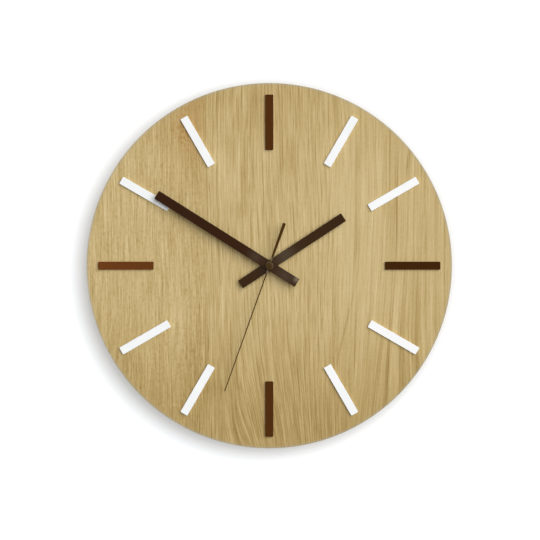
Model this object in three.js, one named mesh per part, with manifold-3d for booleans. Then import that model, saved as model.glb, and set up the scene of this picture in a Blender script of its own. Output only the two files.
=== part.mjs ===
// A round wall clock with an oak-veneered face, twelve raised hour bars and plain bar hands.
// Behind the board is a quartz movement for one cell: its case, gear train, stepping motor and hanger.
// Millimetres. +Z is 12 o'clock, +X is 3 o'clock, and the face looks along -Y.
// The origin is where the hands' axis meets the wall. Depths are distances out from that wall.
import * as THREE from "three";
import { mergeVertices } from "three/addons/utils/BufferGeometryUtils.js";
import Module from "manifold-3d";

const wasm = await Module();
wasm.setup();

// Board
const BOARD_DIAMETER = 330;
const VENEER_THICKNESS = 0.6;
const CORE_THICKNESS = 6.8;
const BOARD_BORE_DIAMETER = 8.6;
const FOAM_THICKNESS = 1;
const FOAM_INSET = 2;

// Hour bars
const HOURS = 12;
const BAR_LENGTH = 50;
const BAR_WIDTH = 7.2;
const BAR_THICKNESS = 2;
const BAR_CORNER = 0.9;
const BAR_EDGE_DISTANCE = 10.5;

// Hands: angles are clockwise from 12 o'clock
const HAND_WIDTH = 8.3;
const HAND_THICKNESS = 0.8;
const HOUR_HAND_REACH = 80;
const HOUR_HAND_TAIL = 31;
const HOUR_HAND_ANGLE = 56.8;
const MINUTE_HAND_REACH = 120;
const MINUTE_HAND_TAIL = 29.5;
const MINUTE_HAND_ANGLE = 302.2;
const SECOND_HAND_REACH = 120;
const SECOND_HAND_TAIL = 40.6;
const SECOND_HAND_ANGLE = 199.6;
const SECOND_HAND_THICKNESS = 0.4;
const NEEDLE_ROOT_WIDTH = 1.1;
const NEEDLE_TIP_WIDTH = 0.8;
const PADDLE_START = 8;
const PADDLE_ROOT_WIDTH = 2;
const PADDLE_END_WIDTH = 2.9;
const SECOND_HUB_DIAMETER = 5.2;
const CAP_DIAMETER = 7;
const CAP_HEIGHT = 1.3;

// Gaps in front of the board
const NECK_PROJECTION = 2.4;
const NECK_TO_HOUR_BUSH = 0.4;
const BAR_TO_MINUTE_HAND = 2;
const MINUTE_TO_SECOND_TUBE = 0.7;
const BUSH_COLLAR = 0.6;

// Tubes and arbor that carry the hands
const NECK_DIAMETER = 7.8;
const HOUR_TUBE_DIAMETER = 5;
const MINUTE_TUBE_DIAMETER = 3.2;
const ARBOR_DIAMETER = 1;
const RUNNING_CLEARANCE = 0.2;
const PRESS_CLEARANCE = 0.1;

// Movement case
const CASE_WALL = 1.2;
const CASE_CORNER = 3;
const COVER_THICKNESS = 1.2;
const RIM_HEIGHT = 1.6;
const RIM_THICKNESS = 0.9;
const BAY_WALL = 1;
const SNAP_WIDTH = 6;
const SNAP_REACH = 0.6;
const POST_DIAMETER = 3;
const PIN_DIAMETER = 1.5;
const FIT = 0.2;
const CRADLE_WIDTH = 2.4;
const CRADLE_HEIGHT = 3.6;

// Posts of the middle plate, measured from the axes that they stand beside
const POST_ABOVE_THIRD = 3;
const POST_BELOW_MOTION = 8.8;
const POST_RIGHT_OF_MOTION = 5.5;
const POST_LEFT_OF_ROTOR = 4;
const POST_LEFT_OF_INTERMEDIATE = 1.9;

// Cell and its contacts
const CELL_DIAMETER = 14.3;
const CELL_LENGTH = 50.5;
const CELL_NUB_DIAMETER = 5.2;
const CELL_NUB_HEIGHT = 1.2;
const CELL_CLEARANCE = 0.25;
const SLEEVE_THICKNESS = 0.2;
const CONTACT_ROOM = 1.55;
const CONTACT_THICKNESS = 0.3;
const CONTACT_WIDTH = 4;

// Gear train: distances between axes, and their directions counterclockwise from 3 o'clock
const MOTION_DISTANCE = 10;
const MOTION_DIRECTION = 0;
const THIRD_DISTANCE = 9;
const THIRD_DIRECTION = 110;
const INTERMEDIATE_DISTANCE = 7.5;
const INTERMEDIATE_DIRECTION = 215;
const ROTOR_DISTANCE = 7;
const ROTOR_DIRECTION = 160;
const CANNON_TEETH = 15;
const MOTION_WHEEL_TEETH = 45;
const MOTION_PINION_TEETH = 12;
const HOUR_WHEEL_TEETH = 48;
const THIRD_PINION_TEETH = 8;
const CENTRE_WHEEL_TEETH = 64;
const SECONDS_PINION_TEETH = 8;
const THIRD_WHEEL_TEETH = 60;
const SECONDS_WHEEL_TEETH = 50;
const INTERMEDIATE_PINION_TEETH = 10;
const INTERMEDIATE_WHEEL_TEETH = 48;
const ROTOR_PINION_TEETH = 8;
const MOTION_WORK_THICKNESS = 1;
const FINE_WHEEL_THICKNESS = 0.8;
const LAYER_GAP = 0.4;
const PINION_OVERLAP = 0.15;
const PLATE_THICKNESS = 0.8;
const CLUTCH_THICKNESS = 0.3;
const TRAIN_CLEARANCE = 0.9;
const MOTION_ARBOR_DIAMETER = 2;
const SHAFT_DIAMETER = 1.4;
const PIVOT_DIAMETER = 0.8;
const PIVOT_DEPTH = 0.6;
const BEARING_DIAMETER = 2.8;

// Tooth form, in modules and in shares of the pitch
const ADDENDUM = 0.8;
const DEDENDUM = 1.15;
const TOOTH_ROOT_SHARE = 0.56;
const TOOTH_TIP_SHARE = 0.2;

// Setting knob
const KNOB_DIAMETER = 11;
const KNOB_FLUTES = 16;
const FLUTE_DEPTH = 0.5;
const KNOB_RECESS_CLEARANCE = 1.2;
const KNOB_SETBACK = 0.4;
const KNOB_HEIGHT = 2.8;

// Stepping motor
const MAGNET_DIAMETER = 6.2;
const MAGNET_LENGTH = 1.8;
const STATOR_GAP = 0.5;
const STATOR_RING = 1.6;
const STATOR_THICKNESS = 1.2;
const STATOR_PIN_OFFSET = 4.5;
const STATOR_PIN_RISE = 5;
const STATOR_PAD_DIAMETER = 2.6;
const COIL_DIAMETER = 6;
const COIL_FLANGE_DIAMETER = 6.8;
const COIL_LENGTH = 18;
const COIL_TO_STATOR = 1.08;
const COIL_WALL_CLEARANCE = 0.9;
const COIL_MIDDLE_HEIGHT = 1.6;
const FLANGE_THICKNESS = 0.7;
const BOBBIN_TUBE_DIAMETER = 3.4;
const CORE_LENGTH = 24;
const CORE_WIDTH = 2;
const CORE_END_WIDTH = 4;

// Circuit board
const CIRCUIT_LEFT = 5.5;
const CIRCUIT_BOTTOM = 9.4;
const CIRCUIT_THICKNESS = 0.8;
const CIRCUIT_COVER_GAP = 2.4;
const CIRCUIT_EDGE_GAP = 0.9;
const CIRCUIT_POST_INSET = 3;
const CHIP_DIAMETER = 5;
const CHIP_HEIGHT = 1;
const CRYSTAL_DIAMETER = 2;
const CRYSTAL_LENGTH = 6;

// Hanger
const HANGER_WIDTH = 18;
const HANGER_HEIGHT = 17;
const HANGER_THICKNESS = 3;
const HANGER_FOOT_HEIGHT = 4;
const HANGER_SETBACK = 1.2;
const DOVETAIL = 1;
const RAIL_WIDTH = 1.8;
const EYE_WIDTH = 10;
const EYE_TOP_WIDTH = 4.5;
const EYE_BAR = 4;
const EYE_SILL = 0.8;

// Facets round a full turn, from the board's rim to the finest pivots
const BOARD_FACETS = 96;
const CELL_FACETS = 24;
const TUBE_FACETS = 16;
const FINE_FACETS = 10;
const CUT = 1;

// A point at a distance and direction from another, in the plane of the face.
function polar(from, distance, degrees) {
  const angle = THREE.MathUtils.degToRad(degrees);
  return new THREE.Vector2(from.x + distance * Math.cos(angle), from.y + distance * Math.sin(angle));
}

// Axes of the wheels, and of the coil beside the rotor's stator
const centreAxis = new THREE.Vector2(0, 0);
const motionAxis = polar(centreAxis, MOTION_DISTANCE, MOTION_DIRECTION);
const thirdAxis = polar(centreAxis, THIRD_DISTANCE, THIRD_DIRECTION);
const intermediateAxis = polar(centreAxis, INTERMEDIATE_DISTANCE, INTERMEDIATE_DIRECTION);
const rotorAxis = polar(intermediateAxis, ROTOR_DISTANCE, ROTOR_DIRECTION);
const statorBore = MAGNET_DIAMETER / 2 + STATOR_GAP;
const statorRing = statorBore + STATOR_RING;
const coilAxisX = rotorAxis.x - statorRing - COIL_TO_STATOR - COIL_FLANGE_DIAMETER / 2;

// The case is as wide as the cell with its contacts, or the coil, needs.
const cellRoom = CELL_LENGTH / 2 + CONTACT_ROOM;
const coilRoom = COIL_FLANGE_DIAMETER / 2 + COIL_WALL_CLEARANCE - coilAxisX;
const roomHalf = Math.max(cellRoom, coilRoom);
const caseHalf = roomHalf + CASE_WALL;
const caseDepth = CASE_WALL + CELL_DIAMETER + 2 * CELL_CLEARANCE;
const caseInside = caseDepth - CASE_WALL;

const boardBack = caseDepth + FOAM_THICKNESS;
const coreBack = boardBack + VENEER_THICKNESS;
const coreFront = coreBack + CORE_THICKNESS;
const boardFront = coreFront + VENEER_THICKNESS;
const barFront = boardFront + BAR_THICKNESS;

const neckEnd = boardFront + NECK_PROJECTION;
const hourBushBack = neckEnd + NECK_TO_HOUR_BUSH;
const hourHandBack = hourBushBack + BUSH_COLLAR;
const hourHandFront = hourHandBack + HAND_THICKNESS;
const minuteHandBack = Math.max(barFront, hourHandFront + BUSH_COLLAR) + BAR_TO_MINUTE_HAND;
const minuteHandFront = minuteHandBack + HAND_THICKNESS;
const secondTubeBack = minuteHandFront + MINUTE_TO_SECOND_TUBE;
const secondHandBack = secondTubeBack + BUSH_COLLAR;
const secondHandFront = secondHandBack + SECOND_HAND_THICKNESS;

const hourTubeRadius = HOUR_TUBE_DIAMETER / 2;
const minuteTubeRadius = MINUTE_TUBE_DIAMETER / 2;
const arborRadius = ARBOR_DIAMETER / 2;
const neckRadius = NECK_DIAMETER / 2;
const pivotRadius = PIVOT_DIAMETER / 2;
const shaftRadius = SHAFT_DIAMETER / 2;
const motionArborRadius = MOTION_ARBOR_DIAMETER / 2;

// One flat layer of the train: its back and front depth.
function layerBehind(front, thickness) {
  return { back: front - LAYER_GAP - thickness, front: front - LAYER_GAP };
}

const hourLayer = layerBehind(caseInside, MOTION_WORK_THICKNESS);
const motionLayer = layerBehind(hourLayer.back, MOTION_WORK_THICKNESS);
const centreLayer = layerBehind(motionLayer.back, FINE_WHEEL_THICKNESS);
const clutchLayer = {
  back: centreLayer.back - PRESS_CLEARANCE - CLUTCH_THICKNESS,
  front: centreLayer.back - PRESS_CLEARANCE,
};
const plateLayer = layerBehind(clutchLayer.back - CLUTCH_THICKNESS, PLATE_THICKNESS);
const thirdLayer = layerBehind(plateLayer.back, FINE_WHEEL_THICKNESS);
const secondsLayer = layerBehind(thirdLayer.back, FINE_WHEEL_THICKNESS);
const rotorLayer = layerBehind(secondsLayer.back, FINE_WHEEL_THICKNESS);
const bearingEnd = rotorLayer.back - LAYER_GAP;
const bearingFloor = COVER_THICKNESS + PIVOT_DEPTH;

const magnetLayer = { back: plateLayer.back - FIT - MAGNET_LENGTH, front: plateLayer.back - FIT };
const magnetMiddle = (magnetLayer.back + magnetLayer.front) / 2;
const statorLayer = { back: magnetMiddle - STATOR_THICKNESS / 2, front: magnetMiddle + STATOR_THICKNESS / 2 };
const coreLayer = { back: statorLayer.back - STATOR_THICKNESS, front: statorLayer.back };
const circuitLayer = {
  back: COVER_THICKNESS + CIRCUIT_COVER_GAP,
  front: COVER_THICKNESS + CIRCUIT_COVER_GAP + CIRCUIT_THICKNESS,
};

// The module that makes two wheels' pitch circles meet.
function moduleFor(distance, teethA, teethB) {
  return (2 * distance) / (teethA + teethB);
}

const motionModule = moduleFor(MOTION_DISTANCE, CANNON_TEETH, MOTION_WHEEL_TEETH);
const hourModule = moduleFor(MOTION_DISTANCE, MOTION_PINION_TEETH, HOUR_WHEEL_TEETH);
const centreModule = moduleFor(THIRD_DISTANCE, THIRD_PINION_TEETH, CENTRE_WHEEL_TEETH);
const thirdModule = moduleFor(THIRD_DISTANCE, SECONDS_PINION_TEETH, THIRD_WHEEL_TEETH);
const secondsModule = moduleFor(INTERMEDIATE_DISTANCE, SECONDS_WHEEL_TEETH, INTERMEDIATE_PINION_TEETH);
const rotorModule = moduleFor(ROTOR_DISTANCE, INTERMEDIATE_WHEEL_TEETH, ROTOR_PINION_TEETH);

function tipRadius(module, teeth) {
  return module * (teeth / 2 + ADDENDUM);
}

function rootRadius(module, teeth) {
  return module * (teeth / 2 - DEDENDUM);
}

// The cell bay lies under the lowest wheel, and the case is square.
const trainBottom = Math.min(
  intermediateAxis.y - tipRadius(rotorModule, INTERMEDIATE_WHEEL_TEETH),
  motionAxis.y - tipRadius(motionModule, MOTION_WHEEL_TEETH),
);
const roomBottom = trainBottom - TRAIN_CLEARANCE;
const bayTop = roomBottom - BAY_WALL;
const cellRadius = CELL_DIAMETER / 2;
const cellMiddle = bayTop - CELL_CLEARANCE - cellRadius;
const bayBottom = cellMiddle - cellRadius - CELL_CLEARANCE;
const caseBottom = bayBottom - CASE_WALL;
const caseTop = caseBottom + 2 * caseHalf;
const caseMiddle = (caseBottom + caseTop) / 2;
const roomTop = caseTop - CASE_WALL;
const cellDepth = caseInside - CELL_CLEARANCE - cellRadius;

// A gear's teeth as points: each tooth has two root points and two tip points.
function gearPoints(module, teeth, phase) {
  const pitch = (2 * Math.PI) / teeth;
  const root = rootRadius(module, teeth);
  const tip = tipRadius(module, teeth);
  const points = [];
  for (let tooth = 0; tooth < teeth; tooth++) {
    const middle = phase + tooth * pitch;
    const corners = [
      [root, -TOOTH_ROOT_SHARE / 2],
      [tip, -TOOTH_TIP_SHARE / 2],
      [tip, TOOTH_TIP_SHARE / 2],
      [root, TOOTH_ROOT_SHARE / 2],
    ];
    for (const [radius, share] of corners) {
      const angle = middle + share * pitch;
      points.push(new THREE.Vector2(radius * Math.cos(angle), radius * Math.sin(angle)));
    }
  }
  return points;
}

// The phase that sets a gap of the driven gear opposite a tooth of its driver.
function meshedPhase(driverAxis, driverTeeth, driverPhase, drivenAxis, drivenTeeth) {
  const line = Math.atan2(drivenAxis.y - driverAxis.y, drivenAxis.x - driverAxis.x);
  const ahead = ((line - driverPhase) * driverTeeth) / (2 * Math.PI);
  return line + Math.PI - ((0.5 - ahead) * 2 * Math.PI) / drivenTeeth;
}

function circlePoints(radius, facets, centre = centreAxis) {
  return Array.from({ length: facets }, (_, i) => polar(centre, radius, (i * 360) / facets));
}

// A rectangle with rounded corners, between two heights and two sides.
function roundedRectangle(left, right, bottom, top, corner) {
  const shape = new THREE.Shape();
  shape.moveTo(left + corner, bottom);
  shape.lineTo(right - corner, bottom);
  shape.absarc(right - corner, bottom + corner, corner, -Math.PI / 2, 0, false);
  shape.lineTo(right, top - corner);
  shape.absarc(right - corner, top - corner, corner, 0, Math.PI / 2, false);
  shape.lineTo(left + corner, top);
  shape.absarc(left + corner, top - corner, corner, Math.PI / 2, Math.PI, false);
  shape.lineTo(left, bottom + corner);
  shape.absarc(left + corner, bottom + corner, corner, Math.PI, 1.5 * Math.PI, false);
  return shape;
}

// A strip of even width that follows a line of points with mitred bends.
function ribbon(points, width) {
  const normals = points.slice(1).map((point, i) => {
    const along = point.clone().sub(points[i]).normalize();
    return new THREE.Vector2(-along.y, along.x);
  });
  const offsets = points.map((point, i) => {
    const before = normals[Math.max(i - 1, 0)];
    const after = normals[Math.min(i, normals.length - 1)];
    const mitre = before.clone().add(after).normalize();
    return mitre.multiplyScalar(width / 2 / mitre.dot(after));
  });
  const left = points.map((point, i) => point.clone().add(offsets[i]));
  const right = points.map((point, i) => point.clone().sub(offsets[i]));
  return new THREE.Shape([...left, ...right.reverse()]);
}

// Joins a geometry's shared corners, so that it is one closed solid.
function toSolid(geometry) {
  const bare = geometry.index ? geometry.toNonIndexed() : geometry.clone();
  bare.deleteAttribute("normal");
  bare.deleteAttribute("uv");
  const merged = mergeVertices(bare, 1e-4);
  return new wasm.Manifold(
    new wasm.Mesh({
      numProp: 3,
      vertProperties: merged.attributes.position.array,
      triVerts: new Uint32Array(merged.index.array),
    }),
  );
}

// An outline in the plane of the face, given thickness from one depth to another.
function extruded(outline, back, front, arcFacets = 4) {
  const shape = Array.isArray(outline) ? new THREE.Shape(outline) : outline;
  const geometry = new THREE.ExtrudeGeometry(shape, {
    depth: front - back,
    bevelEnabled: false,
    curveSegments: arcFacets,
  });
  geometry.rotateX(Math.PI / 2);
  geometry.translate(0, -back, 0);
  return toSolid(geometry);
}

// An outline with round holes, each a list of points.
function withHoles(outline, holes) {
  const shape = Array.isArray(outline) ? new THREE.Shape(outline) : outline;
  holes.forEach((hole) => shape.holes.push(new THREE.Path(hole)));
  return shape;
}

// A closed profile of [radius, depth] pairs, revolved about an axis square to the face.
function turned(profile, facets, axis = centreAxis) {
  const points = profile.map(([radius, depth]) => new THREE.Vector2(radius, -depth));
  if (THREE.ShapeUtils.area(points) < 0) points.reverse();
  points.push(points[0].clone());
  const geometry = new THREE.LatheGeometry(points, facets);
  geometry.translate(axis.x, 0, axis.y);
  return toSolid(geometry);
}

// A round pin, or a ring when it has a bore.
function round(radius, back, front, facets, axis = centreAxis, bore = 0) {
  return turned([[bore, back], [radius, back], [radius, front], [bore, front]], facets, axis);
}

function box(left, right, bottom, top, back, front) {
  const geometry = new THREE.BoxGeometry(right - left, front - back, top - bottom);
  geometry.translate((left + right) / 2, -(back + front) / 2, (bottom + top) / 2);
  return toSolid(geometry);
}

function joined(...solids) {
  return solids.reduce((whole, piece) => whole.add(piece));
}

function cutBy(solid, ...tools) {
  return tools.reduce((whole, tool) => whole.subtract(tool), solid);
}

function toGeometry(solid) {
  const mesh = solid.getMesh();
  const geometry = new THREE.BufferGeometry();
  geometry.setAttribute("position", new THREE.BufferAttribute(mesh.vertProperties, 3));
  geometry.setIndex(new THREE.BufferAttribute(mesh.triVerts, 1));
  const faceted = geometry.toNonIndexed();
  faceted.computeVertexNormals();
  return faceted;
}

function piece(name, solid, material) {
  const mesh = new THREE.Mesh(toGeometry(solid), material);
  mesh.name = name;
  return mesh;
}

function finish(color, roughness, metalness) {
  return new THREE.MeshStandardMaterial({ color, roughness, metalness });
}

const oakFinish = () => finish(0xc8b07d, 0.6, 0);
const coreFinish = () => finish(0xb08a58, 0.85, 0);
const brownAcrylic = () => finish(0x502c14, 0.12, 0);
const whiteAcrylic = () => finish(0xf4f4f2, 0.12, 0);
const handLacquer = () => finish(0x38221a, 0.35, 0.1);
const brass = () => finish(0xc9a14a, 0.35, 1);
const steel = () => finish(0xb9bcc0, 0.35, 1);
const blackPlastic = () => finish(0x1c1c1e, 0.5, 0);
const whiteNylon = () => finish(0xe9e6dc, 0.5, 0);
const copper = () => finish(0xb5652f, 0.35, 1);

// Board

function boardDisc(back, front) {
  const rim = circlePoints(BOARD_DIAMETER / 2, BOARD_FACETS);
  const bore = circlePoints(BOARD_BORE_DIAMETER / 2, TUBE_FACETS);
  return extruded(withHoles(rim, [bore]), back, front);
}

function frontVeneer() {
  return piece("front_veneer", boardDisc(coreFront, boardFront), oakFinish());
}

function coreBoard() {
  return piece("core_board", boardDisc(coreBack, coreFront), coreFinish());
}

function backVeneer() {
  return piece("back_veneer", boardDisc(boardBack, coreBack), oakFinish());
}

function mountingFoam() {
  const half = caseHalf - FOAM_INSET;
  const outline = roundedRectangle(
    -half,
    half,
    caseMiddle - half,
    caseMiddle + half,
    CASE_CORNER,
  );
  const hole = circlePoints(BOARD_BORE_DIAMETER / 2 + FOAM_THICKNESS, TUBE_FACETS);
  const solid = extruded(withHoles(outline, [hole]), caseDepth, boardBack);
  return piece("mounting_foam", solid, finish(0xe8e6e0, 0.95, 0));
}

// Hour bars: one form, turned to each hour. The four quarter hours are brown.
function hourBars() {
  const outer = BOARD_DIAMETER / 2 - BAR_EDGE_DISTANCE;
  const half = BAR_WIDTH / 2;
  const outline = roundedRectangle(-half, half, outer - BAR_LENGTH, outer, BAR_CORNER);
  const solid = extruded(outline, boardFront, barFront, 1);
  const bars = new THREE.Group();
  for (let hour = 1; hour <= HOURS; hour++) {
    const material = hour % 3 === 0 ? brownAcrylic() : whiteAcrylic();
    const bar = piece("hour_bar_" + String(hour).padStart(2, "0"), solid, material);
    bar.rotation.y = (hour * 2 * Math.PI) / HOURS;
    bars.add(bar);
  }
  return bars;
}

// Movement case

const postsTop = thirdAxis.y + POST_ABOVE_THIRD;
const postsRight = motionAxis.x + POST_RIGHT_OF_MOTION;
const postsBottom = motionAxis.y - POST_BELOW_MOTION;
const platePosts = [
  new THREE.Vector2(rotorAxis.x - POST_LEFT_OF_ROTOR, postsTop),
  new THREE.Vector2(postsRight, postsTop),
  new THREE.Vector2(postsRight, postsBottom),
  new THREE.Vector2(intermediateAxis.x - POST_LEFT_OF_INTERMEDIATE, postsBottom),
];
const circuitRight = roomHalf - CIRCUIT_EDGE_GAP;
const circuitTop = roomTop - FIT;
const circuitPosts = [
  new THREE.Vector2(CIRCUIT_LEFT + CIRCUIT_POST_INSET, circuitTop - CIRCUIT_POST_INSET),
  new THREE.Vector2(circuitRight - CIRCUIT_POST_INSET, CIRCUIT_BOTTOM + CIRCUIT_POST_INSET),
];

// A post from the front wall that ends in a thinner locating pin.
function steppedPost(place, shoulder, end) {
  const post = round(POST_DIAMETER / 2, shoulder, caseInside + CASE_WALL / 2, FINE_FACETS, place);
  const pin = round(PIN_DIAMETER / 2, end, shoulder + CASE_WALL, FINE_FACETS, place);
  return post.add(pin);
}

function snapPlaces() {
  const middle = (roomBottom + roomTop) / 2;
  return [-1, 1].map((side) => ({ side, low: middle - SNAP_WIDTH / 2, high: middle + SNAP_WIDTH / 2 }));
}

function hangerRails() {
  const foot = HANGER_WIDTH / 2 + FIT;
  const top = caseTop + HANGER_FOOT_HEIGHT;
  const rails = [-1, 1].map((side) => {
    const outline = [
      new THREE.Vector2(side * foot, caseTop - CASE_WALL / 2),
      new THREE.Vector2(side * (foot + RAIL_WIDTH), caseTop - CASE_WALL / 2),
      new THREE.Vector2(side * (foot + RAIL_WIDTH), top),
      new THREE.Vector2(side * (foot - DOVETAIL), top),
      new THREE.Vector2(side * foot, caseTop),
    ];
    return extruded(outline, HANGER_SETBACK, HANGER_SETBACK + 2 * HANGER_THICKNESS);
  });
  const stop = box(
    -foot,
    foot,
    caseTop - CASE_WALL / 2,
    caseTop + HANGER_FOOT_HEIGHT / 2,
    HANGER_SETBACK + HANGER_THICKNESS + FIT,
    HANGER_SETBACK + 2 * HANGER_THICKNESS,
  );
  return joined(...rails, stop);
}

// Two ribs in the bay are hollowed to the cell's round.
function cellCradles() {
  const hollow = cellTurned([
    [0, -caseHalf],
    [cellRadius + PRESS_CLEARANCE, -caseHalf],
    [cellRadius + PRESS_CLEARANCE, caseHalf],
    [0, caseHalf],
  ]);
  return [-1, 1].map((side) => {
    const middle = (side * CELL_LENGTH) / 4;
    const rib = box(
      middle - CRADLE_WIDTH / 2,
      middle + CRADLE_WIDTH / 2,
      bayBottom - CASE_WALL / 2,
      bayTop + BAY_WALL / 2,
      caseInside - CRADLE_HEIGHT,
      caseInside + CASE_WALL / 2,
    );
    return rib.subtract(hollow);
  });
}

function neck() {
  const inner = hourTubeRadius + RUNNING_CLEARANCE;
  const chamfer = NECK_PROJECTION / 3;
  return turned(
    [
      [inner, caseInside],
      [neckRadius, caseInside],
      [neckRadius, neckEnd - chamfer],
      [neckRadius - chamfer, neckEnd],
      [inner, neckEnd],
    ],
    TUBE_FACETS,
  );
}

function movementCase() {
  const outline = roundedRectangle(-caseHalf, caseHalf, caseBottom, caseTop, CASE_CORNER);
  const block = extruded(outline, 0, caseDepth);
  const cornerRoom = CASE_CORNER - CASE_WALL;
  const roomOutline = roundedRectangle(-roomHalf, roomHalf, roomBottom, roomTop, cornerRoom);
  const room = extruded(roomOutline, -CUT, caseInside);
  const bay = box(-roomHalf, roomHalf, bayBottom, bayTop, -CUT, caseInside);
  const coverSeat = box(-caseHalf - CUT, caseHalf + CUT, bayTop, caseTop + CUT, -CUT, COVER_THICKNESS);
  const bore = round(hourTubeRadius + RUNNING_CLEARANCE, caseInside - CUT, caseDepth + CUT, TUBE_FACETS);
  const contactSlots = [-1, 1].map((side) => {
    const inner = side * (roomHalf - CONTACT_ROOM / 2);
    const outer = side * roomHalf;
    const left = Math.min(inner, outer);
    const right = Math.max(inner, outer);
    return box(left, right, bayTop - CUT, roomBottom + CUT, 0, contactLayer.front + CELL_CLEARANCE);
  });
  const windows = snapPlaces().map(({ side, low, high }) => {
    const inner = side * (roomHalf - CUT);
    const outer = side * (caseHalf + CUT);
    const left = Math.min(inner, outer);
    const right = Math.max(inner, outer);
    const back = COVER_THICKNESS + RIM_HEIGHT / 2 - FIT;
    return box(left, right, low - FIT, high + FIT, back, COVER_THICKNESS + RIM_HEIGHT + FIT);
  });
  const bearings = [
    round(pivotRadius + RUNNING_CLEARANCE / 2, caseInside - CUT, caseInside + PIVOT_DEPTH, FINE_FACETS, thirdAxis),
    round(
      motionArborRadius + RUNNING_CLEARANCE / 2,
      caseInside - CUT,
      caseInside + PIVOT_DEPTH,
      FINE_FACETS,
      motionAxis,
    ),
  ];
  const posts = platePosts.map((place) => steppedPost(place, plateLayer.front, plateLayer.back - FIT));
  const pegs = circuitPosts.map((place) => steppedPost(place, circuitLayer.front, circuitLayer.back - FIT));
  const shell = cutBy(block, room, bay, coverSeat, bore, ...contactSlots, ...windows, ...bearings);
  const solid = joined(shell, neck(), hangerRails(), ...cellCradles(), ...posts, ...pegs);
  return piece("movement_case", solid, blackPlastic());
}

const knobRadius = KNOB_DIAMETER / 2;
const recessRadius = knobRadius + KNOB_RECESS_CLEARANCE;
const knobFront = KNOB_SETBACK + KNOB_HEIGHT;
const recessFloor = knobFront + FIT;

function backCover() {
  const outline = roundedRectangle(-caseHalf, caseHalf, caseBottom, caseTop, CASE_CORNER);
  const below = box(-caseHalf - CUT, caseHalf + CUT, caseBottom - CUT, bayTop, -CUT, caseDepth);
  const plate = extruded(outline, 0, COVER_THICKNESS).subtract(below);
  const rimHalf = roomHalf - FIT;
  const cornerRoom = CASE_CORNER - CASE_WALL;
  const rimEnd = COVER_THICKNESS + RIM_HEIGHT;
  const rimOutline = roundedRectangle(-rimHalf, rimHalf, roomBottom + FIT, roomTop - FIT, cornerRoom);
  const rimInside = roundedRectangle(
    -rimHalf + RIM_THICKNESS,
    rimHalf - RIM_THICKNESS,
    roomBottom + FIT + RIM_THICKNESS,
    roomTop - FIT - RIM_THICKNESS,
    cornerRoom / 2,
  );
  const rim = extruded(rimOutline, COVER_THICKNESS / 2, rimEnd).subtract(
    extruded(rimInside, 0, rimEnd + CUT),
  );
  const snaps = snapPlaces().map(({ side, low, high }) => {
    const inner = side * (rimHalf - RIM_THICKNESS / 2);
    const outer = side * (rimHalf + SNAP_REACH);
    const back = COVER_THICKNESS + RIM_HEIGHT / 2;
    return box(Math.min(inner, outer), Math.max(inner, outer), low, high, back, rimEnd);
  });
  const cup = round(recessRadius + COVER_THICKNESS, 0, recessFloor + COVER_THICKNESS, TUBE_FACETS, motionAxis);
  const recess = round(recessRadius, -CUT, recessFloor, TUBE_FACETS, motionAxis);
  const knobHole = round(motionArborRadius + RUNNING_CLEARANCE / 2, 0, caseDepth, FINE_FACETS, motionAxis);
  const bearingAxes = [centreAxis, thirdAxis, intermediateAxis, rotorAxis];
  const bosses = bearingAxes.map((axis) =>
    round(BEARING_DIAMETER / 2, COVER_THICKNESS / 2, bearingEnd, FINE_FACETS, axis),
  );
  const bores = bearingAxes.map((axis) => {
    const radius = (axis === centreAxis ? arborRadius : pivotRadius) + RUNNING_CLEARANCE / 2;
    return round(radius, bearingFloor, bearingEnd + CUT, FINE_FACETS, axis);
  });
  const solid = cutBy(joined(plate, rim, ...snaps, cup, ...bosses), recess, knobHole, ...bores);
  return piece("back_cover", solid, blackPlastic());
}

const statorPins = [-1, 1].map(
  (side) => new THREE.Vector2(rotorAxis.x - STATOR_PIN_OFFSET, rotorAxis.y + side * STATOR_PIN_RISE),
);

function middlePlate() {
  const xs = platePosts.map((place) => place.x);
  const ys = platePosts.map((place) => place.y);
  const margin = POST_DIAMETER / 2 + FIT;
  const outline = roundedRectangle(
    Math.min(...xs, statorPins[0].x) - margin,
    Math.max(...xs) + margin,
    Math.min(...ys) - margin,
    Math.max(...ys) + margin,
    margin,
  );
  const clearance = RUNNING_CLEARANCE / 2;
  const holes = [
    circlePoints(arborRadius + RUNNING_CLEARANCE, FINE_FACETS),
    circlePoints(shaftRadius + RUNNING_CLEARANCE, FINE_FACETS, thirdAxis),
    circlePoints(motionArborRadius + RUNNING_CLEARANCE, FINE_FACETS, motionAxis),
    circlePoints(pivotRadius + clearance, FINE_FACETS, intermediateAxis),
    circlePoints(pivotRadius + clearance, FINE_FACETS, rotorAxis),
    ...platePosts.map((place) => circlePoints(PIN_DIAMETER / 2 + FIT, FINE_FACETS, place)),
  ];
  const plate = extruded(withHoles(outline, holes), plateLayer.back, plateLayer.front);
  const pads = statorPins.map((place) =>
    turned(
      [
        [0, plateLayer.front - PLATE_THICKNESS / 2],
        [STATOR_PAD_DIAMETER / 2, plateLayer.front - PLATE_THICKNESS / 2],
        [STATOR_PAD_DIAMETER / 2, statorLayer.front],
        [pivotRadius, statorLayer.front],
        [pivotRadius, statorLayer.back - FIT],
        [0, statorLayer.back - FIT],
      ],
      FINE_FACETS,
      place,
    ),
  );
  return piece("middle_plate", joined(plate, ...pads), whiteNylon());
}

// Gear train. Each wheel's phase follows from the gear that it meshes with.

function gear(module, teeth, phase, back, front, axis = centreAxis) {
  const points = gearPoints(module, teeth, phase).map((point) => point.add(axis));
  return extruded(points, back, front);
}

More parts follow.
